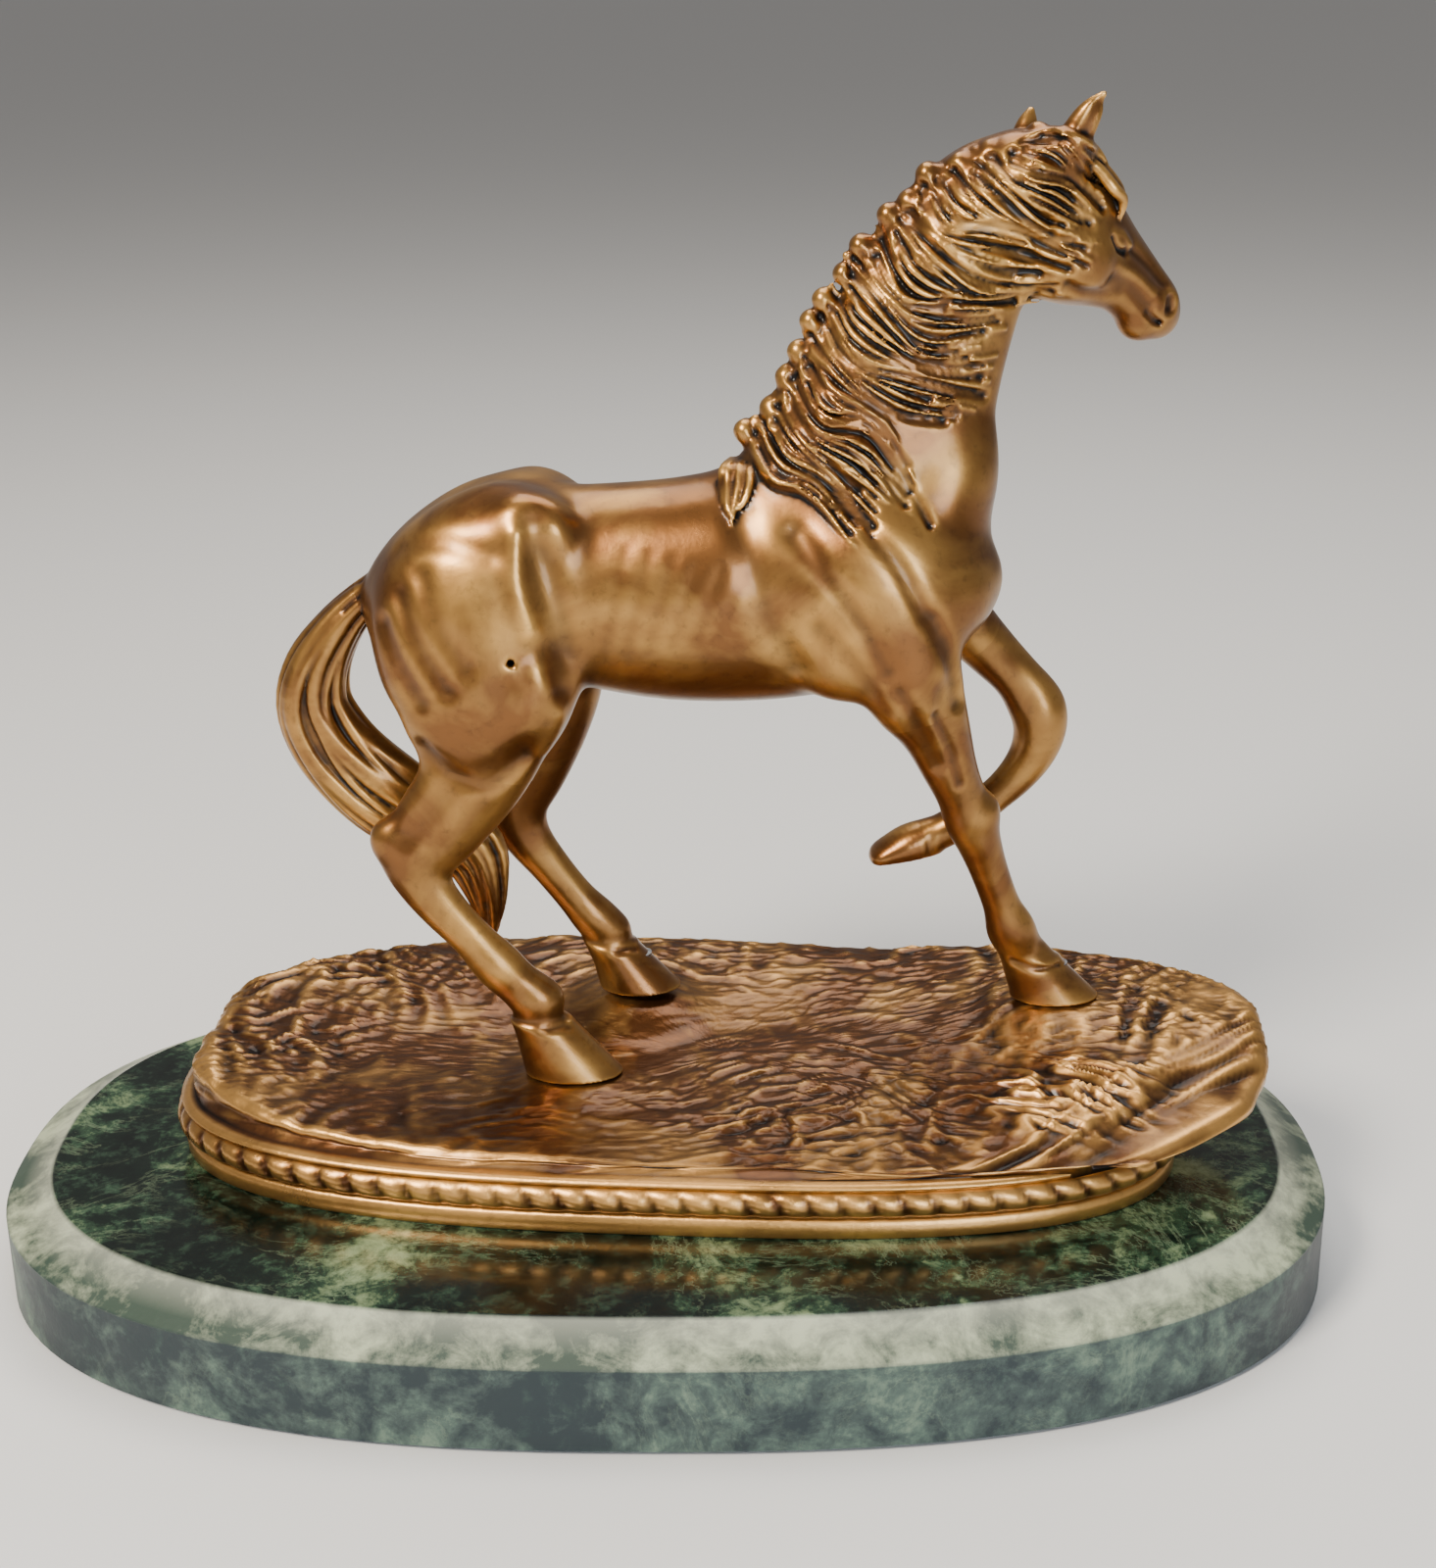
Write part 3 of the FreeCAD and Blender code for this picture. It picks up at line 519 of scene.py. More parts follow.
class Wax:
    """Block of space holding the distance to the wax surface, in millimetres above the marble."""

    def __init__(self, low, high, step):
        self.low = np.array(low, float)
        self.step = step * coarse
        self.size = np.ceil((np.array(high) - self.low) / self.step).astype(int) + 1
        self.gap = np.full(self.size, far_off, np.float32)

    def around(self, points, reach):
        """The part of the block within reach of points: its slices and its three axes."""
        low = np.clip(((points.min(0) - reach - self.low) / self.step).astype(int), 0, self.size)
        high = np.clip(((points.max(0) + reach - self.low) / self.step).astype(int) + 2, 0, self.size)
        cut = tuple(slice(a, b) for a, b in zip(low, high))
        axes = [(self.low[k] + self.step * np.arange(low[k], high[k])).astype(np.float32) for k in range(3)]
        return cut, axes[0][:, None, None], axes[1][None, :, None], axes[2][None, None, :]

    def near(self, run, reach, turned_head=False):
        """Distance to an oval bar along a run of (x, y, height, half across, half deep)."""
        whole, x, y, z = self.around(run[:, :3], reach)
        gap = np.full(self.gap[whole].shape, far_off, np.float32)
        if not gap.size:
            return whole, gap
        first = np.array([s.start for s in whole])
        for a, b in zip(run[:-1], run[1:]):
            cut, x, y, z = self.around(np.array([a[:3], b[:3]]), reach)
            if any(s.stop <= s.start for s in cut):
                continue
            axis = b[:3] - a[:3]
            length = max(axis @ axis, 1e-6)
            n = axis / length ** 0.5
            level = np.cross([0, 0, 1], n) if turned_head else np.array([0, 1, 0]) - n * n[1]
            level = level / max(np.linalg.norm(level), 1e-3)
            dx, dy, dz = x - np.float32(a[0]), y - np.float32(a[1]), z - np.float32(a[2])
            t = np.clip((dx * axis[0] + dy * axis[1] + dz * axis[2]) / length, 0, 1).astype(np.float32)
            dx, dy, dz = dx - t * axis[0], dy - t * axis[1], dz - t * axis[2]
            s = dx * level[0] + dy * level[1] + dz * level[2]
            wide = a[3] + (b[3] - a[3]) * t
            deep = a[4] + (b[4] - a[4]) * t
            rest = dx * dx + dy * dy + dz * dz - s * s
            found = np.sqrt(np.maximum(s * s * (deep / wide) ** 2 + rest, 0)) - deep
            found = found * np.minimum(1, wide / deep)
            inner = tuple(slice(c.start - f, c.stop - f) for c, f in zip(cut, first))
            np.minimum(gap[inner], found, out=gap[inner])
        return whole, gap

    def join(self, cut, gap, blend):
        """Adds a form to the wax, with a fillet about as wide as blend."""
        old = self.gap[cut]
        soft = np.maximum(blend - np.abs(old - gap), 0) / blend
        self.gap[cut] = np.minimum(old, gap) - soft * soft * blend * 0.25

    def bar(self, stations, blend, steps=4, turned_head=False):
        run = flow(stations, steps)
        reach = float(run[:, 3:5].max()) + blend + 1.5
        self.join(*self.near(run, reach, turned_head), blend)

    def lump(self, centre, radii, blend, lean=0.0):
        """Egg-shaped muscle, leaned in the side view by lean degrees."""
        centre = np.array(centre, float)
        reach = max(radii) + blend + 1.5
        cut, x, y, z = self.around(np.array([centre]), reach)
        if any(s.stop <= s.start for s in cut):
            return
        c, s = np.cos(np.radians(lean)), np.sin(np.radians(lean))
        dx, dy, dz = x - centre[0], y - centre[1], z - centre[2]
        u = dx * c + dz * s
        w = dz * c - dx * s
        k = np.sqrt((u / radii[0]) ** 2 + (dy / radii[1]) ** 2 + (w / radii[2]) ** 2)
        g = np.sqrt((u / radii[0] ** 2) ** 2 + (dy / radii[1] ** 2) ** 2 + (w / radii[2] ** 2) ** 2)
        self.join(cut, (k * (k - 1) / np.maximum(g, 1e-5)).astype(np.float32), blend)

    def press(self, path, depth, width):
        """Drags a rounded tool along a path; a negative depth raises a ridge."""
        run = flow([(*p, 1.0, 1.0) for p in path], 4)
        cut, gap = self.near(run, width * 2.4 + 1.0)
        if gap.size:
            self.gap[cut] += depth * np.exp(-((gap + 1.0) / width) ** 2).astype(np.float32)

    def even(self):
        """Rubs the wax smooth, twice over."""
        half = max(1, round(1.35 / self.step))
        wide = 2 * half + 1
        for k in (0, 1, 2) * 2:
            pad = [(half, half) if n == k else (0, 0) for n in range(3)]
            total = np.cumsum(np.pad(self.gap, pad, mode="edge"), axis=k, dtype=np.float64)
            total = np.concatenate([np.zeros_like(total.take([0], k)), total], k)
            count = self.gap.shape[k]
            window = total.take(range(wide, wide + count), k) - total.take(range(count), k)
            self.gap = (window / wide).astype(np.float32)

    def near_side(self, way=-1):
        """Where the near (-1) or far (1) surface stands at each spot of the side view."""
        gap = self.gap if way < 0 else self.gap[:, ::-1]
        inside = gap < 0
        first = np.maximum(inside.argmax(1), 1)[:, None, :]
        out = np.take_along_axis(gap, first - 1, 1)
        wet = np.take_along_axis(gap, first, 1)
        steps = first - 1 + np.clip(out / np.maximum(out - wet, 1e-4), 0, 1)
        if way > 0:
            steps = gap.shape[1] - 1 - steps
        return np.where(inside.any(1), self.low[1] + self.step * steps[:, 0], off_wax)

    def carve(self, sides, path, depth, width):
        """Presses a line drawn in the side view into the skin of one side; skips it off the wax."""
        steps = flow(path, 5)
        low, high = self.low[[0, 2]], (self.low + self.step * (self.size - 1))[[0, 2]]
        steps = steps[((steps > low) & (steps < high)).all(1)]
        if len(steps) > 2:
            self.press(np.stack([steps[:, 0], self.side_at(sides, steps), steps[:, 1]], 1), depth, width)

    def side_at(self, sides, spots):
        """The surface under spots of the side view; off the wax, the middle of neck and head."""
        i = ((spots[:, 0] - self.low[0]) / self.step).round().astype(int)
        k = ((spots[:, 1] - self.low[2]) / self.step).round().astype(int)
        held = (i >= 0) & (i < sides.shape[0]) & (k >= 0) & (k < sides.shape[1])
        found = np.where(held, sides[i.clip(0, sides.shape[0] - 1), k.clip(0, sides.shape[1] - 1)], off_wax)
        return np.where(found < off_wax, found, np.interp(spots[:, 0], (60, 80, 90, 104), (9, 8.5, 9, 14)))

    def surface(self):
        """Closed quad skin of the wax."""
        for edge in (0, -1):
            self.gap[edge] = self.gap[:, edge] = self.gap[:, :, edge] = far_off
        inside = self.gap < 0
        nx, ny, nz = inside.shape
        corners = [(i, j, k) for i in (0, 1) for j in (0, 1) for k in (0, 1)]
        count = sum(inside[i:nx - 1 + i, j:ny - 1 + j, k:nz - 1 + k].astype(np.int8)
                    for i, j, k in corners)
        cells = np.argwhere((count > 0) & (count < 8))
        number = np.full(count.shape, -1, np.int32)
        number[tuple(cells.T)] = np.arange(len(cells))
        total = np.zeros((len(cells), 3))
        hits = np.zeros(len(cells))
        for a in corners:
            for k in range(3):
                if a[k]:
                    continue
                b = list(a)
                b[k] = 1
                va = self.gap[tuple((cells + a).T)]
                vb = self.gap[tuple((cells + b).T)]
                crossed = (va < 0) != (vb < 0)
                t = np.where(crossed, va / np.where(crossed, va - vb, 1), 0)
                spot = np.array(a)[None, :] + t[:, None] * (np.array(b) - a)[None, :]
                total[crossed] += spot[crossed]
                hits += crossed
        points = self.low + self.step * (cells + total / hits[:, None])
        faces = []
        for k in range(3):
            u, v = (k + 1) % 3, (k + 2) % 3
            edge = np.argwhere(np.diff(inside, axis=k))
            edge = edge[(edge[:, u] > 0) & (edge[:, v] > 0)]
            outward = inside[tuple(edge.T)]
            ring = []
            for du, dv in ((1, 1), (0, 1), (0, 0), (1, 0)):
                cell = edge.copy()
                cell[:, u] -= du
                cell[:, v] -= dv
                ring.append(number[tuple(cell.T)])
            ring = np.stack(ring, 1)
            ring[~outward] = ring[~outward][:, ::-1]
            faces.append(ring)
        return points, np.concatenate(faces)


def above_marble(place):
    return Vector(place) / 1000 + Vector((0, 0, marble_top))


def cast(name, node, wax, joints, side, heart):
    """Skins the wax and parts it at its joints: side 1 keeps the trunk's side of them, -1 the other.

    What hangs together round the heart stays, and the cuts are closed.
    """
    points, faces = wax.surface()
    piece = skin(name, points, faces, horse_bronze)
    mark_wear(piece, 7, 6.5, 3.2)
    shape = bmesh.new()
    shape.from_mesh(piece.data)
    for point, normal, reach in joints:
        spot = above_marble(point)
        close = [f for f in shape.faces if (f.verts[0].co - spot).length * 1000 < reach]
        edges = {e for f in close for e in f.edges}
        verts = {v for f in close for v in f.verts}
        bmesh.ops.bisect_plane(shape, geom=close + list(edges) + list(verts), dist=1e-7, plane_co=spot,
                               plane_no=Vector(normal).normalized() * side, clear_outer=True)
    middle = above_marble(heart)
    wave = {min(shape.verts, key=lambda v: (v.co - middle).length_squared)}
    kept = set(wave)
    while wave:
        wave = {e.other_vert(v) for v in wave for e in v.link_edges} - kept
        kept |= wave
    bmesh.ops.delete(shape, geom=[v for v in shape.verts if v not in kept], context="VERTS")
    rim = [e for e in shape.edges if e.is_boundary]
    for face in bmesh.ops.holes_fill(shape, edges=rim, sides=0)["faces"]:
        face.smooth = False
        for e in face.edges:
            e.smooth = False
    shape.normal_update()
    shape.to_mesh(piece.data)
    shape.free()
    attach(piece, "root")
    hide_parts(node)


def model_trunk(wax):
    wax.bar(((-57, 9, 127, 7, 7), (-52, 9, 127.2, 12, 13), (-42, 9, 128.6, 16.5, 20),
             (-30, 9, 130.6, 18, 22.4), (-15, 9, 130.6, 17.6, 22.6), (5, 9, 129.6, 19.2, 24.8),
             (25, 9, 131, 19.2, 26.2), (42, 9, 132.6, 18.4, 24.6), (56, 9, 132.4, 16.5, 18.5),
             (65, 9, 132.4, 12, 11.5), (69, 9, 132.4, 6, 6)), 3, 5)
    for way in (-1, 1):
        wax.lump((-37, 9 + way * 8, 133), (20, 11.5, 17), 8, 28)
        wax.lump((-51, 9 + way * 7.5, 121), (8.5, 9.5, 15), 7, -14)
        wax.lump((-25, 9 + way * 12.5, 148), (8, 6, 6), 6, -20)
        wax.lump((49, 9 + way * 10, 133), (17, 10, 17), 9, 55)
        wax.lump((62, 9 + way * 7.2, 130), (9.5, 8, 9.5), 5, 30)
        wax.lump((44, 9 + way * 12.5, 119), (12, 7, 10), 6, 40)


# Each line is a path in the side view, a depth (negative for a ridge) and a width.
muscle_lines = (
    (((-24, 150), (-22.5, 139), (-19.5, 126), (-19, 113)), 1.7, 3.6),
    (((-28, 147), (-28, 137), (-25.5, 127)), -0.7, 2.4),
    (((-54, 134), (-50, 124), (-44, 114.5)), 0.9, 2.6),
    (((-57.5, 127), (-54.5, 119), (-50, 111)), 0.8, 2.4),
    (((-49, 138), (-45.5, 128), (-40, 119.5)), 0.6, 2.8),
    (((-54, 143), (-44, 145), (-34, 143)), 0.5, 2.6),
    (((19, 150), (22, 140), (25, 128), (31, 117)), 0.9, 3.4),
    (((44, 150), (52, 141), (58, 130)), 1, 2),
    (((31, 146), (38, 137), (45, 127), (50, 117)), 0.8, 2.6),
    (((36, 126), (43, 119), (50, 108)), 0.5, 2.6),
    (((60, 128), (64, 119), (66, 108)), 1.3, 2),
    (((53, 112), (58, 103), (62, 93)), 0.8, 2),
    (((61, 106), (64.5, 97), (67, 88)), 0.8, 1.2),
    (((-50, 100), (-44, 94), (-36, 92), (-28, 98)), 0.8, 2.2),
    (((-24, 118), (-20, 108), (-24, 99)), -0.5, 2.4))


def detail_trunk(wax):
    """Muscle lines and ribs cut into both flanks, the breast and the cleft of the rump."""
    for way in (-1, 1):
        skin_map = wax.near_side(way)
        for path, depth, width in muscle_lines:
            wax.carve(skin_map, path, depth, width)
        for k in range(6):
            x = -8 + 5.0 * k
            wax.carve(skin_map, ((x + 3, 143 - k), (x, 131), (x - 2.5, 119 + k)), 0.1, 1.5)
    wax.press(((70, 9, 140), (73, 9, 131), (69, 9, 121)), 1.6, 2.4)
    wax.press(((-60, 9, 124), (-58, 9, 112), (-52, 9, 100)), 3, 3)


def model_right_fore(wax):
    wax.bar(((46, 1, 142, 6, 10), (50, -3, 130, 8, 13), (55, -4, 116, 8.3, 11.6),
             (58.5, -2.4, 107, 7.6, 9.6), (61.8, -0.5, 99.5, 6.6, 7.8), (65, 1.5, 90.5, 5.4, 6.4),
             (68, 3.5, 83, 5, 5.7), (70.3, 4.8, 77, 5.4, 6.3), (72.2, 5.8, 71.5, 4.8, 5.4),
             (74.8, 7, 64, 3.9, 4.7), (78.4, 8.5, 53.8, 3.9, 4.6), (80.8, 9.7, 47.4, 4.9, 5.9),
             (83.2, 10.6, 42.6, 4.5, 5.2), (86, 11.4, 38.6, 4.6, 5.6)), 4)
    wax.lump((53.5, -5, 110), (6, 5, 9), 4, 20)
    wax.lump((73.5, 5.2, 79), (3, 4, 3.6), 3, 0)
    wax.press(((62, -9, 112), (64, -8, 103), (65, -6, 94)), 1.6, 2.4)
    wax.press(((56, -9, 104), (59, -8, 97), (61.5, -5.5, 89)), 0.9, 2)
    wax.press(((69, 1.6, 70), (72.5, 3.5, 60), (76, 4.8, 52)), 0.8, 1.2)
    wax.press(((66, -1.5, 79), (70, -0.6, 75), (74, 0.4, 73.5)), 0.5, 1.3)
    wax.press(((76, 5, 45), (80, 5.4, 42), (85, 6.2, 41)), 0.7, 1.2)


def model_left_fore(wax):
    wax.bar(((50, 16, 136, 6, 9), (55, 18, 131, 7.5, 10.5), (62, 19, 124.5, 7.6, 9.2),
             (70.2, 20, 117, 6.4, 7), (76, 21, 110.8, 5.6, 6.2), (81.6, 21.5, 104.8, 5, 5.8),
             (85.6, 22, 99, 5.4, 6.6), (87.3, 22, 93.6, 5.4, 6.4), (86, 22, 87, 4.6, 5.6),
             (82, 22, 80.5, 3.9, 4.8), (76, 21.5, 74.8, 3.7, 4.3), (71, 21, 71, 4.6, 5),
             (66.5, 20.8, 68.3, 4.2, 4.2), (63, 20.6, 66.6, 4.4, 4.4)), 4)
    wax.lump((88.2, 22, 97), (3.2, 4.2, 4.6), 3, 0)
    wax.press(((78, 17, 112), (82, 17, 106), (84, 17.5, 100)), 0.9, 1.8)
    wax.press(((84, 17.5, 86), (79, 17.8, 79), (73, 17.5, 74)), 0.8, 1.2)


def model_right_hind(wax):
    wax.bar(((-33, 1, 144, 6, 10), (-35, -1.5, 136, 8.5, 15), (-37.5, -3.5, 123, 10.6, 20),
             (-38.2, -4.4, 110, 10.6, 18.2), (-38.4, -4.5, 100, 9.2, 14.6), (-41, -5, 90.5, 7, 11.6),
             (-48.2, -5.5, 80.4, 5.6, 10.4), (-53.4, -5.5, 73.4, 5, 9), (-53, -5.5, 66.8, 4.6, 6.6),
             (-48.5, -5.6, 59.6, 4.2, 5.6), (-42, -5.8, 52, 4, 5.1), (-37, -6, 46, 4.9, 5.9),
             (-32.5, -6, 41.2, 4.7, 5.5), (-28, -6, 36.8, 5.2, 6.4)), 5)
    wax.lump((-26, -4.5, 110), (7.5, 8.5, 10.5), 6, -20)
    wax.lump((-60, -5.5, 76.5), (4, 3.4, 4.4), 3.5, 30)
    wax.press(((-28, -12.5, 100), (-36, -13, 95), (-45, -12, 95), (-52, -10, 98)), 1, 2.8)
    wax.press(((-44, -12, 92), (-50, -11.5, 84), (-55, -10, 78)), 1.6, 2.4)
    wax.press(((-54, -10.5, 69), (-49.5, -10.4, 61), (-43.5, -10, 53)), 0.9, 1.3)
    wax.press(((-48, -11, 78), (-51, -11, 72), (-49, -11, 66)), 0.6, 1.6)
    wax.press(((-41.5, -10, 44), (-37, -11, 41), (-31, -11, 40.5)), 0.8, 1.3)


def model_left_hind(wax):
    wax.bar(((-30, 16, 144, 6, 10), (-31, 18.5, 137, 8.5, 15), (-31, 20.6, 124, 10.6, 19.4),
             (-28.6, 21.2, 108, 10, 16.2), (-28.4, 21.6, 95, 8, 12), (-31.5, 22, 83, 6, 9.6),
             (-34.6, 22.4, 74.5, 5, 8), (-32.6, 22.8, 66.5, 4.4, 6.2), (-27, 23.2, 58, 4, 5.1),
             (-21, 23.6, 49.6, 4.2, 4.9), (-17, 23.8, 44.6, 4.8, 5.6), (-13.4, 24, 40.6, 4.8, 5.6)), 5)
    wax.lump((-41, 22.2, 77.5), (3.8, 3.2, 4.2), 3.5, 30)
    wax.press(((-31, 17.5, 68), (-25, 18.6, 57), (-20, 19.2, 49)), 0.9, 1.3)
    wax.press(((-20, 18.5, 42.5), (-16, 18.8, 40), (-11, 19, 39.5)), 0.7, 1.2)


def model_tail(wax):
    """A core bar with 44 combed strands swaying round it, drawn in a fixed random order."""
    spine = flow(((-53, 9, 133, 4, 5), (-59, 9.3, 131, 3.8, 4.2), (-65, 9.8, 127.2, 3.6, 3.8),
                  (-71, 10.2, 120.6, 4.2, 5), (-76, 10.8, 112, 5.2, 7), (-77.6, 11.2, 103, 5.9, 8.6),
                  (-74.6, 11.4, 94.4, 6.2, 9.8), (-68.5, 11.6, 86.4, 5.9, 10.6), (-61, 11.6, 79.6, 5, 11),
                  (-51.5, 11.6, 73, 4, 10.2), (-43.4, 11.8, 66.5, 3.8, 8.6), (-40.8, 11.8, 57.5, 3, 5.6),
                  (-40.2, 11.6, 49, 1.6, 2.6), (-40.2, 11.6, 45, 0.6, 0.9)))
    core = spine.copy()
    core[:, 3:] *= 0.8
    wax.join(*wax.near(core, 14), 2)
    pick = np.random.default_rng(3)
    count = 44
    for k in range(count):
        spot = 2 * np.pi * k / count + pick.uniform(-0.06, 0.06)
        start = int(pick.integers(6, 14)) if k % 3 else 5
        stop = len(spine) - int(pick.integers(0, 14))
        run = spine[start:stop].copy()
        t = np.linspace(0, 1, len(run))
        way = np.gradient(run[:, :3], axis=0)
        way = way / np.linalg.norm(way, axis=1)[:, None]
        level = np.array([0, 1, 0]) - way * way[:, 1:2]
        deep = np.cross(way, level)
        sway = spot + 0.28 * np.sin(3.2 * t + k) + 0.1 * np.sin(9 * t + 2 * k)
        run[:, :3] += (level * (np.cos(sway) * run[:, 3] * 0.8)[:, None]
                       + deep * (np.sin(sway) * run[:, 4] * 0.84)[:, None])
        thick = pick.uniform(0.85, 1.45) * np.sin(np.pi * np.clip(t * 0.86 + 0.14, 0, 1)) ** 0.6 + 0.25
        run[:, 3:] = thick[:, None]
        wax.join(*wax.near(run, 4), 0.55)


def model_neck(wax):
    wax.bar(((37, 9, 136, 14, 24), (44, 9, 151, 12.6, 26), (49.5, 9, 166, 10.4, 23.5),
             (55, 9, 180, 9, 20.5), (60.5, 9.3, 193, 8.4, 18.2), (66, 10, 204, 8.4, 16),
             (71, 11, 212, 8.2, 13), (76, 12, 217, 7.5, 9.5)), 4, 5)
    wax.lump((63, 9, 150), (9, 11, 16), 7, -15)


# Middle lines of the locks in the side view, from the forelock down the crest to the withers.
mane_locks = (
    ((81, 226.6), (87.4, 225.2), (92.6, 222.4), (97.6, 216.7)),
    ((76, 224.5), (84, 223.5), (91, 219.5), (97, 213.5)),
    ((73.3, 222.4), (80.4, 221.5), (87.8, 216.8), (96, 210.6)),
    ((70.1, 223.2), (76.6, 218.4), (84.7, 212.9), (93.8, 206.5)),
    ((65.4, 220.6), (71.9, 213.4), (81.7, 209), (94.6, 204.6)),
    ((60, 219.5), (66, 212), (77, 208), (92.4, 202.6)),
    ((56.7, 217.1), (60.8, 210.8), (73.7, 206.7), (90.8, 200)),
    ((54.4, 212.6), (60.9, 205.2), (72.3, 200.3), (88, 197.4)),
    ((51.2, 210.9), (57.7, 201.3), (69.2, 195.6), (86, 194)),
    ((47.2, 206), (53, 196.5), (62.8, 191.6), (80.8, 191.4)),
    ((42.4, 203), (48.9, 195), (58, 188.4), (75.6, 188.6)),
    ((40.8, 198.2), (46.5, 191.7), (58.1, 183.5), (73.4, 182.6)),
    ((37.6, 194.4), (43.3, 185.3), (56.5, 178.6), (72.4, 177.6)),
    ((35.9, 191), (41.7, 182), (54.9, 174.6), (69.9, 170.2)),
    ((33.4, 186.5), (39.6, 178), (50.5, 172), (62, 168.6)),
    ((32, 182.5), (38.2, 174), (49.5, 168), (60.4, 146)),
    ((29.4, 178), (35.2, 169.4), (46.4, 163.6), (57.4, 149.5)),
    ((27.6, 173.5), (33, 165.1), (42.5, 160.1), (53.4, 150.4)),
    ((24.4, 169.4), (29.8, 161.8), (38.4, 156.6), (47.3, 145.3)),
    ((20.5, 165.2), (25.9, 159.4), (33.6, 153.4), (44.6, 142.1)))


def model_mane(wax):
    """Crest rolls, ridged locks blown over the near side, furrows, fine hair, forelock, withers lock."""
    locks = np.array(mane_locks)
    last_lock = len(locks) - 1
    pick = np.random.default_rng(11)

    def lay(place, loose, short, bare):
        """A lock's way over the bare skin, between two of the given locks and shortened at its tip."""
        low = int(min(place, len(locks) - 2))
        share = place - low
        if abs(locks[low + 1][3] - locks[low][3]).max() > 14:
            share = round(share)
        path = locks[low] * (1 - share) + locks[low + 1] * share + pick.uniform(-loose, loose, (4, 2))
        path[1:3, 1] += 1.5 * np.sin(1.9 * place) * np.array([1, -1])
        steps = flow(path, 7)
        steps = steps[:len(steps) - short]
        t = np.linspace(0, 1, len(steps))
        side = wax.side_at(bare, steps)
        side = np.convolve(np.r_[side[:1], side, side[-1:]], (0.25, 0.5, 0.25), "valid")
        return t, steps, side

    def strand(steps, y, up, thick):
        return np.stack([steps[:, 0], y, steps[:, 1] + up, thick, thick * 1.1], 1)

    def hair(count, width, loose, blend):
        """Strands side by side from the forelock to the withers, tapered, standing a little proud."""
        bare = wax.near_side()
        for k in range(count):
            t, steps, side = lay(k * last_lock / (count - 1), loose, int(pick.integers(0, 4)), bare)
            crest = np.clip(1 - t * 3.4, 0, 1) ** 1.2
            thick = width * pick.uniform(0.8, 1.25) * (0.55 + 0.6 * np.sin(np.pi * np.clip(t * 1.05, 0, 1)))
            thick = thick * (1 - 0.8 * t ** 5)
            rise = 0.3 * np.sin(np.pi * np.clip(t + 0.06, 0, 1)) ** 0.5
            y = side * (1 - crest) + 8.5 * crest - rise * (1 - crest)
            run = strand(steps, y, 0.35 * np.sin(7 * t + k), thick)
            wax.join(*wax.near(run, 4.5), blend)

    def furrows(count, depth, width):
        bare = wax.near_side()
        for k in range(count):
            t, steps, side = lay((k + 0.5) * last_lock / count, 0.3, int(pick.integers(0, 6)), bare)
            path = np.stack([steps[:, 0], side + 0.3, steps[:, 1]], 1)[1 + k % 3::3]
            wax.press(path, depth * pick.uniform(0.7, 1.3), width)

    for k in range(15):
        t, steps, side = lay(k * last_lock / 14, 0.4, 12, wax.near_side())
        x, h = steps[0]
        thick = 2.3 - 1.5 * t
        run = strand(steps, np.minimum(side, 9) * t + 8.6 * (1 - t), -0.4, thick)
        start = np.array([[x + 4.6, 14, h - 6, 1.2, 2.2], [x + 1.8, 11.6, h - 1.4, 1.9, 2.3]])
        wax.bar(np.vstack([start, run[::2]]), 0.9, 3)
    hair(40, 1.55, 0.35, 0.7)
    furrows(40, 1.7, 0.85)
    hair(60, 0.6, 0.7, 0.3)
    furrows(66, 0.7, 0.5)
    for k in range(7):
        y = 7.5 + 1.6 * k
        dip = 0.12 * (k - 3) ** 2 + 0.5 * (k % 2)
        wax.bar(((81, y * 0.5 + 5, 223.4, 1.2, 1.3), (88, y * 0.8 + 2, 222.6 - dip, 1.25, 1.4),
                 (92.5, y + 0.6, 220.8 - dip, 1.15, 1.3), (96.5, y - 0.4, 217 - dip * 1.6, 1.2, 1.3),
                 (98.8 - 0.5 * (k % 2), y + 1.2, 212.6, 1, 1.1),
                 (98.4 - k % 2, y + 1.8, 208.4 - 1.2 * (k % 3), 0.3, 0.3)), 0.12)
    bare = wax.near_side()
    for k in range(6):
        x = 14.8 + 1.15 * k
        out = 0.7 * (k % 2)
        tip = 147.6 + 1.4 * (k % 3)
        spots = np.array([(x + 0.5, 155), (x + 0.9 - 0.4 * k, 151.5), (x + 2.4 - 1.1 * k, tip)])
        side = np.minimum(wax.side_at(bare, spots), 9) - np.array([0.4, 0.4, 0]) - out
        wax.bar([(x + 2.4, 9.5, 158.2, 1, 1.1), (x + 0.8, 4, 157.8 + out * 0.4, 1, 1.1)]
                + [(spot[0], y, spot[1], thick, thick)
                   for spot, y, thick in zip(spots, side, (0.9, 0.7, 0.25))], 0.15)


def form(low, high, step, *models):
    """Block of wax with the trunk and the given parts of the horse, rubbed smooth, its muscles lined."""
    wax = Wax(low, high, step)
    for model in (model_trunk, *models):
        model(wax)
    wax.even()
    detail_trunk(wax)
    return wax


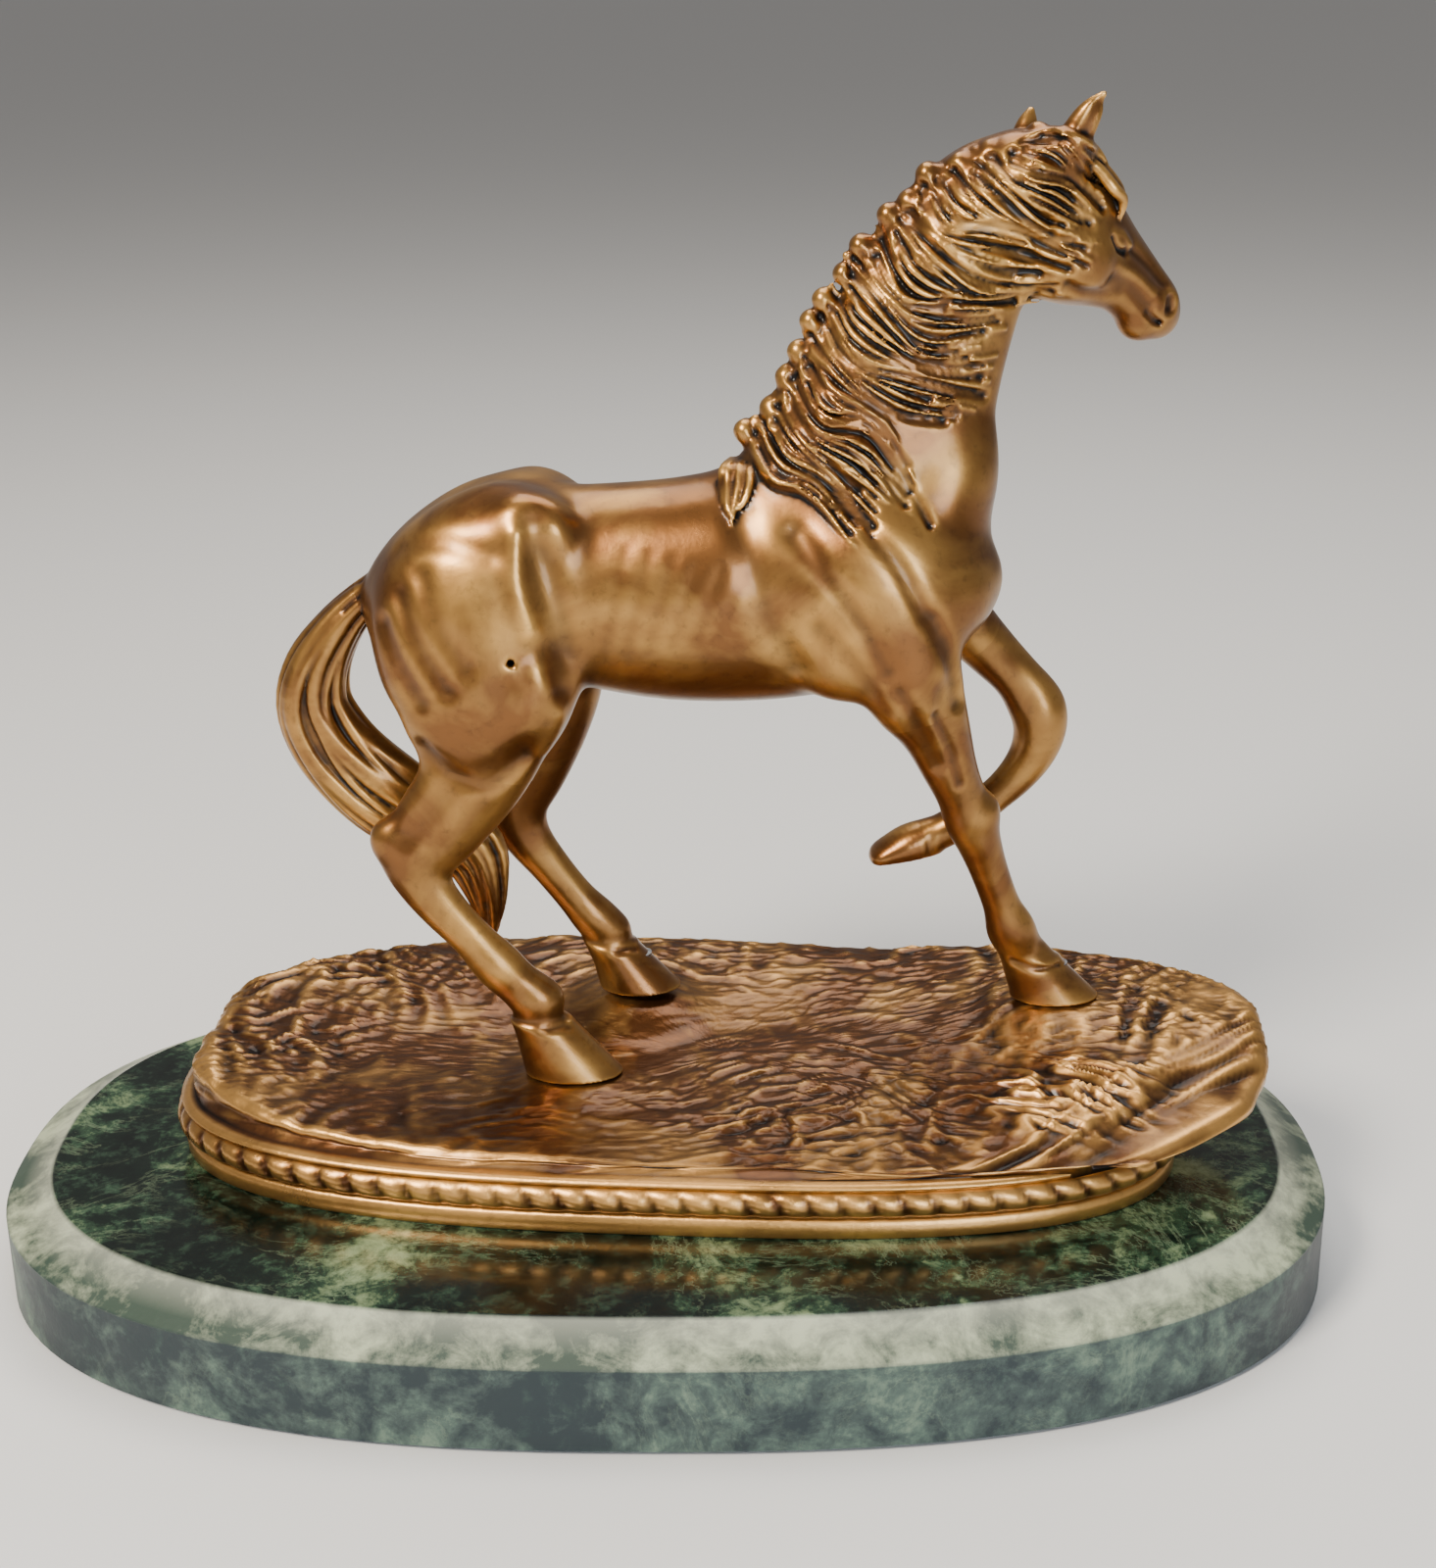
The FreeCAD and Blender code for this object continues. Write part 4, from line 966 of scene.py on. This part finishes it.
core_pin = (-30, 120)
core_pin_radius, core_pin_depth = 0.85, 3.0
wax = form((-70, -16, 84), (82, 35, 178), 0.56, model_neck, model_right_fore, model_left_fore,
           model_right_hind, model_left_hind)
pin_y = wax.side_at(wax.near_side(), np.array([core_pin]))[0]
cut, px, py, pz = wax.around(np.array([[core_pin[0], pin_y, core_pin[1]]]), core_pin_depth)
pit = core_pin_radius - np.sqrt((px - core_pin[0]) ** 2 + (pz - core_pin[1]) ** 2) + 0 * py
wax.gap[cut] = np.maximum(wax.gap[cut], pit.astype(np.float32))
model_tail(wax)
model_mane(wax)
cast("torso_bronze", "torso_casting", wax, (neck_joint, right_foreleg_joint, left_foreleg_joint,
                                            right_hind_joint, left_hind_joint, tail_joint), 1, (0, 28, 130))


# Neck and head: one casting with ears, forelock and the mane, which was rolled on in wax locks.
# The head is turned about 24 degrees to the horse's left.
head_run = ((78, 8.5, 218.5, 7, 8.5), (83, 10, 211.8, 8, 12.6), (88.5, 12, 204.6, 8.2, 13.2),
            (94, 14.2, 200.6, 7, 10.8), (99.3, 16.6, 197, 5.9, 8.6), (104, 19, 192.4, 5.4, 7.6),
            (107, 20.8, 189, 5.5, 7.2), (108.8, 21.7, 187, 4.6, 5.8))


def on_head(along, up, out):
    """Point on the head: along its length, up towards the forehead, out towards the near side."""
    run = np.array(head_run, float)[:, :3]
    k = int(min(along, len(run) - 2))
    n = run[k + 1] - run[k]
    n = n / np.linalg.norm(n)
    level = np.cross([0, 0, 1], n)
    level = level / np.linalg.norm(level)
    spot = run[k] + (run[k + 1] - run[k]) * (along - k)
    return tuple(spot + np.cross(n, level) * up - level * out)


def model_head(wax):
    wax.bar(head_run, 3, 5, True)
    for way in (-1, 1):
        wax.lump(on_head(2, -4, 4.7 * way), (7.5, 3, 7.2), 5, -20)
        wax.lump(on_head(6, 2.2, 3.6 * way), (3.2, 2.3, 2.9), 2, -45)
    wax.lump(on_head(6.1, -5.8, 0), (3.8, 3.4, 2.9), 2, -30)


# Eye corner, brow, cheek ridge, jaw hollow, nose hollow, throat, nostril and its rim, mouth, cheek root.
# Each is a path in places on the head, a depth (negative for a ridge) and a width.
head_lines = (
    (((2.6, 3.6, 7.2), (2.95, 2.6, 6.9), (3.35, 2.6, 6.138)), 0.9, 0.75),
    (((2.55, 5.2, 6.6), (2.95, 5.8, 6.27), (3.4, 4.8, 5.94)), -0.7, 0.9),
    (((3.3, -0.2, 6.27), (4.2, 0.2, 5.412), (5, 0.2, 4.752)), -0.7, 1.1),
    (((3.4, -3.2, 6.27), (4.3, -2.6, 5.61), (5.2, -2.4, 4.62)), 0.7, 1.6),
    (((3.2, 4, 5.28), (4.4, 3.8, 4.356), (5.4, 3.2, 3.63)), 0.7, 1.5),
    (((2.2, -9, 6.6), (3.2, -7.5, 6.6), (4, -4.6, 5.61)), 0.8, 1.5),
    (((6.1, 2.8, 5.6), (6.5, 1.4, 5.4)), 2.2, 1.15),
    (((5.75, 3.2, 4.4), (6.4, 3.6, 4)), -0.5, 0.8),
    (((5.5, -3.2, 4.6), (6.2, -2.9, 4.8), (6.9, -1.9, 3.4), (7, -1.6, 0)), 1.1, 0.7),
    (((1.4, -11, 5), (0.9, -12, 3)), 1, 2.4))


def detail_head(wax):
    """Eyeballs, then the lines of both cheeks."""
    for way in (-1, 1):
        wax.lump(on_head(3, 3.7, 5.6 * way), (2.2, 1.4, 1.3), 0.7, -42)
        for path, depth, width in head_lines:
            wax.press([on_head(along, up, out * way) for along, up, out in path], depth, width)


def model_ears(wax):
    wax.bar(((85.5, 7, 220, 3, 3.6), (87.6, 5.4, 225, 2.5, 3.5), (90.2, 4.4, 230, 1.9, 2.8),
             (92.7, 3.8, 233.6, 0.8, 1.2), (93.4, 3.6, 234.6, 0.3, 0.4)), 1.2, 5)
    wax.press(((88.8, 2.6, 224.6), (90.9, 2, 229), (92.8, 2.6, 232.6)), 1.5, 1.2)
    wax.bar(((78.5, 14, 218, 3, 3.4), (78.6, 15.4, 223, 2.6, 3.2), (79.2, 16.4, 227, 1.8, 2.3),
             (80, 17, 230, 0.7, 0.9)), 1.2, 5)
    wax.press(((81, 13.4, 222), (81.6, 14.4, 227)), 1.2, 1.1)


wax = form((8, -14, 128), (116, 32, 237), 0.46, model_neck, model_head)
detail_head(wax)
model_ears(wax)
model_mane(wax)
cast("head_bronze", "neck_and_head", wax, (neck_joint,), -1, (108, 22, 186))


# Legs: solid castings, doweled and brazed under the trunk. Three stand on the ground on studs
# run up into the hooves; the left foreleg is lifted and folded.
def model_hoof(wax, x, y, sole, length, width, height, lean):
    """Hoof wall with its coronet, standing flat."""
    cut, gx, gy, gz = wax.around(np.array([[x - lean / 2, y, sole + height / 2]]), length + height)
    if any(c.stop <= c.start for c in cut):
        return
    t = np.clip((gz - sole) / height, 0, 1)
    long, wide = length * (1 - 0.42 * t), width * (1 - 0.26 * t)
    flat = np.sqrt(((gx - x + lean * t) / long) ** 2 + ((gy - y) / wide) ** 2)
    wall = np.maximum((flat - 1) * width * 0.9, np.abs(gz - sole - height / 2) - height / 2 + 0.8)
    wax.join(cut, wall.astype(np.float32) - 0.3, 3.6)
    cut, gx, gy, gz = wax.around(np.array([[x, y, sole - 3]]), length + 6)
    wax.gap[cut] = np.maximum(wax.gap[cut], sole - gz)
    top, middle = sole + height, x - lean
    wax.press(((middle - length * 0.5, y - width * 0.75, top + 1), (middle, y - width * 0.86, top - 0.5),
               (middle + length * 0.6, y - width * 0.4, top - 1.2)), 0.7, 0.9)


def standing_leg(node, block, model, stand, hoof, joint):
    """A leg with its hoof flat on the ground."""
    wax = form(*block, model)
    model_hoof(wax, *stand, *hoof)
    cast(node + "_bronze", node, wax, (joint,), -1, stand)


standing_leg("right_foreleg", ((40, -18, 25), (108, 26, 124), 0.36), model_right_fore,
             right_fore_stand, (10.2, 6.8, 10.5, 6), right_foreleg_joint)

raised_hoof = flow(((66.5, 20.8, 67.6, 3.6, 3.6), (63.6, 20.7, 66.4, 3.8, 3.9), (61.2, 20.7, 65.4, 4.7, 4.8),
                    (57.4, 20.6, 64.2, 5.3, 4.7), (53.6, 20.5, 62.8, 5.2, 3.7), (50.8, 20.4, 61.8, 4.8, 2.6),
                    (49.4, 20.4, 61.2, 3.4, 1)))
wax = form((40, 2, 54), (98, 34, 142), 0.36, model_left_fore)
wax.join(*wax.near(raised_hoof, 8), 0.9)
cut, hx, hy, hz = wax.around(np.array([[57, 20.6, 60.5]]), 9)
wax.gap[cut] = np.maximum(wax.gap[cut], 60.3 + 0.15 * (hx - 50) - hz)
wax.press(((60, 20.5, 61.4), (56, 20.5, 60.8), (53, 20.5, 60.4)), 1.2, 2.2)
wax.press(((62.8, 15.8, 70), (62.2, 15.4, 66.5), (62.6, 15.8, 62.5)), 0.9, 0.9)
cast("left_foreleg_bronze", "left_foreleg", wax, (left_foreleg_joint,), -1, (50, 20, 61))

standing_leg("right_hind_leg", ((-68, -20, 15), (-2, 12, 112), 0.38), model_right_hind,
             right_hind_stand, (11, 7.2, 14, 7.5), right_hind_joint)
standing_leg("left_hind_leg", ((-52, 8, 23), (10, 36, 110), 0.38), model_left_hind,
             left_hind_stand, (9.5, 7, 12, 7), left_hind_joint)


# Tail: one casting of combed hair, doweled to the dock; its tip hangs between the hind legs.
# The trunk's wax holds the same strands, so the hair runs on across the joint.
wax = Wax((-92, -2, 36), (-24, 24, 140), 0.4)
model_tail(wax)
cast("tail_bronze", "tail_casting", wax, (tail_joint,), -1, (-40, 12, 46))


# Hidden metal: dowels across the joints, studs with washers and nuts under the hooves, and the two
# bolts with wide washers that pull the ground casting down on the marble.
def turned_metal(name, colour, dull, streak):
    """Drawn or turned metal with fine lines and stain."""
    made, tree, shader = material(name)
    place = add(tree, "ShaderNodeTexCoord").outputs["Object"]
    stretched = add(tree, "ShaderNodeMapping", Vector=place, Scale=(300, 300, streak)).outputs[0]
    lines = noise(tree, stretched, 3.0, 4.0)
    stain = noise(tree, place, 160.0, 4.0)
    stained = mix(tree, spread(tree, stain, 0.4, 0.7, 0.0, 0.5), (*colour, 1),
                  (*(c * 0.45 for c in colour), 1))
    wire(tree, shader, stained, spread(tree, lines, 0.3, 0.7, dull - 0.1, dull + 0.12), lines, 0.3, 0.0001)
    shader.inputs["Metallic"].default_value = 1.0
    return made


zinc = turned_metal("zinc_steel", (0.52, 0.53, 0.55), 0.36, 2000)
rod_bronze = turned_metal("rod_bronze", (0.62, 0.4, 0.18), 0.32, 30)
for node in ("tie_bolts", "tie_washers", "hoof_studs", "hoof_washers", "hoof_nuts"):
    dress(node, zinc)
for node in ("neck_dowels", "foreleg_dowels", "hindleg_dowels", "tail_dowel"):
    dress(node, rod_bronze)
